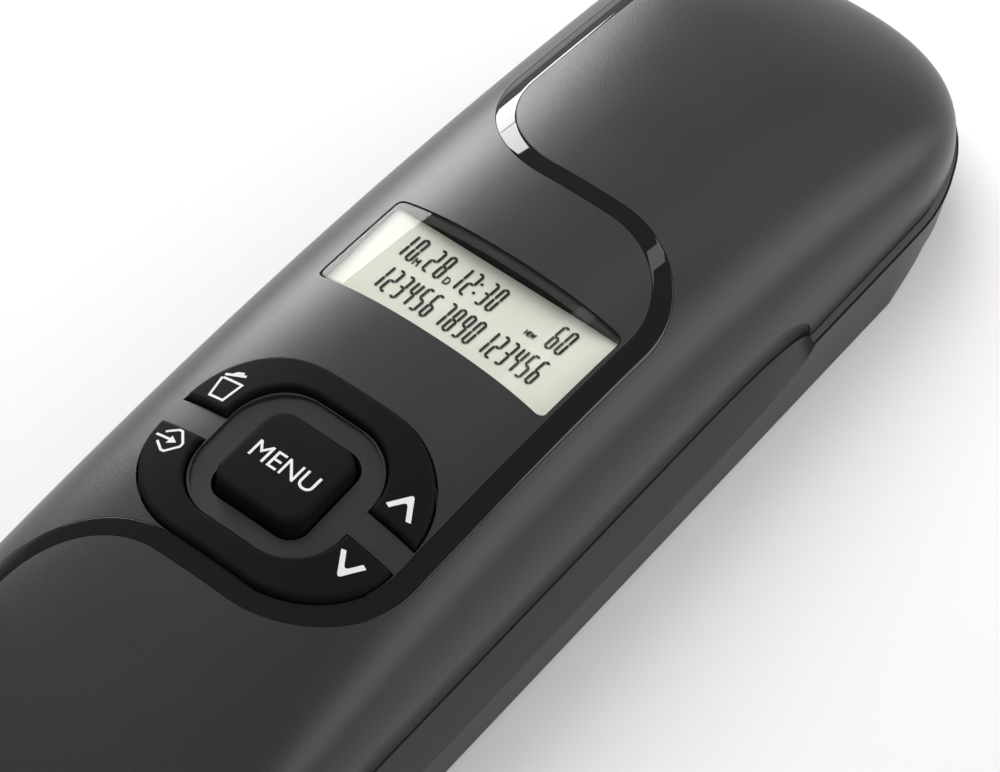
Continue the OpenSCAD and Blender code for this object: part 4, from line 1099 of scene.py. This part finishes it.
# %% [markdown]
# ## Finishes
#
# The shell is fine-grained satin plastic: a grain of about a fifth of a millimetre in the bump, and a faint cloud in
# colour and roughness as mouldings have. The band is polished, the keys are matt, and the lens is clear, so it only
# adds what it mirrors. The pieces inside get moulded, rubber, metal and board finishes.

# %% Finishes
GRAIN_DEEP, STREAK_DEEP, LENS_IOR = 0.00007, 0.00002, 1.49
CLOUD_SCALE, SPECK_SCALE, STREAKS = 90.0, 60.0, (120.0, 9000.0, 9000.0)
CLOUD_ROUGH, GRAIN_ROUGH, ROUGH_SHIFT = 0.05, 0.03, 0.04


def moulded(name, colour, rough, grain=0.0, grain_scale=5200.0, cloud=0.06, vary=1.0, specular=0.2):
    """Moulded plastic or rubber: colour with a faint cloud, roughness that follows it, and a fine grain."""
    f = Finish(name)
    blotch = f.noise(CLOUD_SCALE, 3.0)
    fine = f.noise(grain_scale, 1.5, 0.6)
    inputs = {
        "Base Color": f.mix(blotch, scaled(colour, 1 - cloud), scaled(colour, 1 + cloud)),
        "Roughness": rough + vary * (CLOUD_ROUGH * blotch + GRAIN_ROUGH * fine - ROUGH_SHIFT),
        "Specular IOR Level": specular,
    }
    if grain:
        inputs["Normal"] = f.bump(fine, grain, GRAIN_DEEP)
    return f.end(f.node("ShaderNodeBsdfPrincipled", None, inputs).out("BSDF"))


def metal(name, colour, rough):
    """Plated metal with a fine brushed streak along x."""
    f = Finish(name)
    stretch = f.node("ShaderNodeMapping", None, {"Vector": f.place(), "Scale": STREAKS}).out("Vector")
    streak = f.node("ShaderNodeTexNoise", None, {"Vector": stretch, "Scale": 1.0, "Detail": 2.0}).out("Fac")
    return f.end(f.node("ShaderNodeBsdfPrincipled", None, {
        "Base Color": f.mix(streak, scaled(colour, 0.85), colour),
        "Metallic": 1.0,
        "Roughness": rough + 0.1 * streak,
        "Normal": f.bump(streak, 0.15, STREAK_DEEP)}).out("BSDF"))


def clear(name, tint, gloss, bloom):
    """Clear plastic: see-through, plus a mirror share that grows at grazing angles, weakened by its coating."""
    f = Finish(name)
    behind = f.node("ShaderNodeNewGeometry").out("Backfacing")
    share = f.node("ShaderNodeFresnel", None, {"IOR": LENS_IOR}).out("Fac") * (1 - behind) * bloom
    speck = f.noise(SPECK_SCALE)
    through = f.node("ShaderNodeBsdfTransparent", None, {"Color": tint}).out("BSDF")
    mirror = f.node("ShaderNodeBsdfPrincipled", None, {
        "Base Color": grey(0.9), "Metallic": 1.0, "Roughness": gloss + 0.02 * speck}).out("BSDF")
    return f.end(f.node("ShaderNodeMixShader", None, {0: share, 1: through, 2: mirror}).out("Shader"))


SHELL = moulded("shell_satin", grey(0.032), 0.3, grain=0.5, specular=0.35)
BASE = moulded("base_satin", grey(0.036), 0.36, grain=0.4, specular=0.32)
BAND = moulded("band_gloss", grey(0.006), 0.03, cloud=0.1, vary=0.15, specular=0.5)
KEY = moulded("key_matt", grey(0.009), 0.55, grain=0.12, grain_scale=7000.0, specular=0.04)
DIAL_KEY = moulded("dial_satin", grey(0.02), 0.38, grain=0.15)
CHASSIS = moulded("chassis_matt", grey(0.006), 0.6)
JACK = moulded("jack_moulded", grey(0.012), 0.3)
RUBBER = moulded("foot_rubber", grey(0.014), 0.75, grain=0.4, grain_scale=2500.0)
SILICONE = moulded("keymat_silicone", (0.5, 0.5, 0.48, 1.0), 0.6)
BOARD = moulded("board_coated", (0.015, 0.10, 0.035, 1.0), 0.35, cloud=0.2)
STEEL = metal("plated_steel", (0.55, 0.55, 0.56, 1.0), 0.3)
ALLOY = metal("capsule_alloy", (0.66, 0.66, 0.66, 1.0), 0.35)
BRASS = metal("sounder_brass", (0.72, 0.53, 0.24, 1.0), 0.3)
CLEAR = clear("lens_clear", grey(0.985), 0.02, 0.55)
PANEL = moulded("panel_reflector", (0.88, 0.91, 0.785, 1.0), 0.45, cloud=0.02)
FIGURES = moulded("figure_dark", (0.022, 0.026, 0.022, 1.0), 0.5)
PRINT = moulded("sign_print", (0.78, 0.78, 0.78, 1.0), 0.5, cloud=0.03)


def paint(target, finish):
    """Gives a piece or a solid one finish."""
    target.data.materials.clear()
    target.data.materials.append(finish)


for piece, finish in ((handset_shell, SHELL), (base_skin, BASE), (gloss_band, BAND), (menu_cap, KEY),
                      (curved_keys[1], KEY), (curved_keys[-1], KEY), (clear_lens, CLEAR), (display_glass, CLEAR),
                      (display_panel, PANEL), (display_figures, FIGURES), (display_chassis, CHASSIS),
                      *((sign, PRINT) for sign in (upper_signs, lower_signs, menu_sign, *dial_signs))):
    paint(piece, finish)
DIALS = [name for name in solids if name.endswith("_key") or name.startswith("key_")]
dressed = {
    DIAL_KEY: [n for n in DIALS if "menu" not in n],
    SHELL: ["handset_front"],
    BASE: ["base_plate"],
    CHASSIS: ["rocker_bearings", "hook_switch"],
    JACK: ["handset_jack", "base_jack", "line_jack", "hook_plunger"],
    RUBBER: ["feet", "microphone_boot"],
    SILICONE: ["menu_keymat", "dial_keymat"],
    BOARD: ["display_board", "dial_board", "base_board"],
    STEEL: ["handset_screws", "base_screws", "base_weight", "ear_speaker"],
    ALLOY: ["microphone"],
    BRASS: ["ringer"],
}
for finish, names in dressed.items():
    for name in names:
        paint(solids[name], finish)
print("painted solids:", sum(len(names) for names in dressed.values()))

# %% [markdown]
# ## The floor's and the sky's finish
#
# White paper under a product is lit a little more than the product, most at the back left. Here the floor glows
# faintly, but only for rays from the camera, from a mirror or through the lens, so the glow lights nothing and the
# shadow stays. The sky is a dome that is lighter near the horizon, which keeps the upper faces dark.

# %% Floor and sky finish
FLOOR_GREY, FLOOR_GLOW, GLOW_LEAN = 0.8, 0.19, 0.35
GLOW_FULL_AT, GLOW_GONE_AT = -0.02, 0.16
SKY_LOW, SKY_HIGH, SKY_FROM, SKY_TO = 0.6, 0.2, 0.05, 0.3
f = Finish("floor_white")
path = f.node("ShaderNodeLightPath")
seen = path.out("Is Camera Ray") + path.out("Is Glossy Ray") + path.out("Is Transmission Ray")
seen = seen.math("MINIMUM", seen, 1.0)
at = f.node("ShaderNodeSeparateXYZ", None, {0: f.place()})
aside = f.node("ShaderNodeMapRange", None, {
    "Value": at.out("X") - GLOW_LEAN * at.out("Y"), "From Min": GLOW_FULL_AT, "From Max": GLOW_GONE_AT}).out("Result")
glow = f.mix(aside, grey(FLOOR_GLOW), grey(0.0))
paint(floor, f.end(f.node("ShaderNodeBsdfPrincipled", None, {
    "Base Color": grey(FLOOR_GREY), "Roughness": 0.9, "Specular IOR Level": 0.1,
    "Emission Color": f.mix(seen, grey(0.0), glow), "Emission Strength": 1.0}).out("BSDF")))

sky = bpy.data.worlds.new("studio")
scene.world = sky
f = Finish("studio", sky)
up = f.node("ShaderNodeSeparateXYZ", None, {0: f.node("ShaderNodeTexCoord").out("Generated")}).out("Z")
share = f.node("ShaderNodeMapRange", {"interpolation_type": "SMOOTHSTEP"}, {
    "Value": up, "From Min": SKY_FROM, "From Max": SKY_TO}).out("Result")
dome = f.node("ShaderNodeBackground", None, {"Color": f.mix(share, grey(SKY_LOW), grey(SKY_HIGH)), "Strength": 1.0})
f.end(dome.out("Background"), "ShaderNodeOutputWorld")
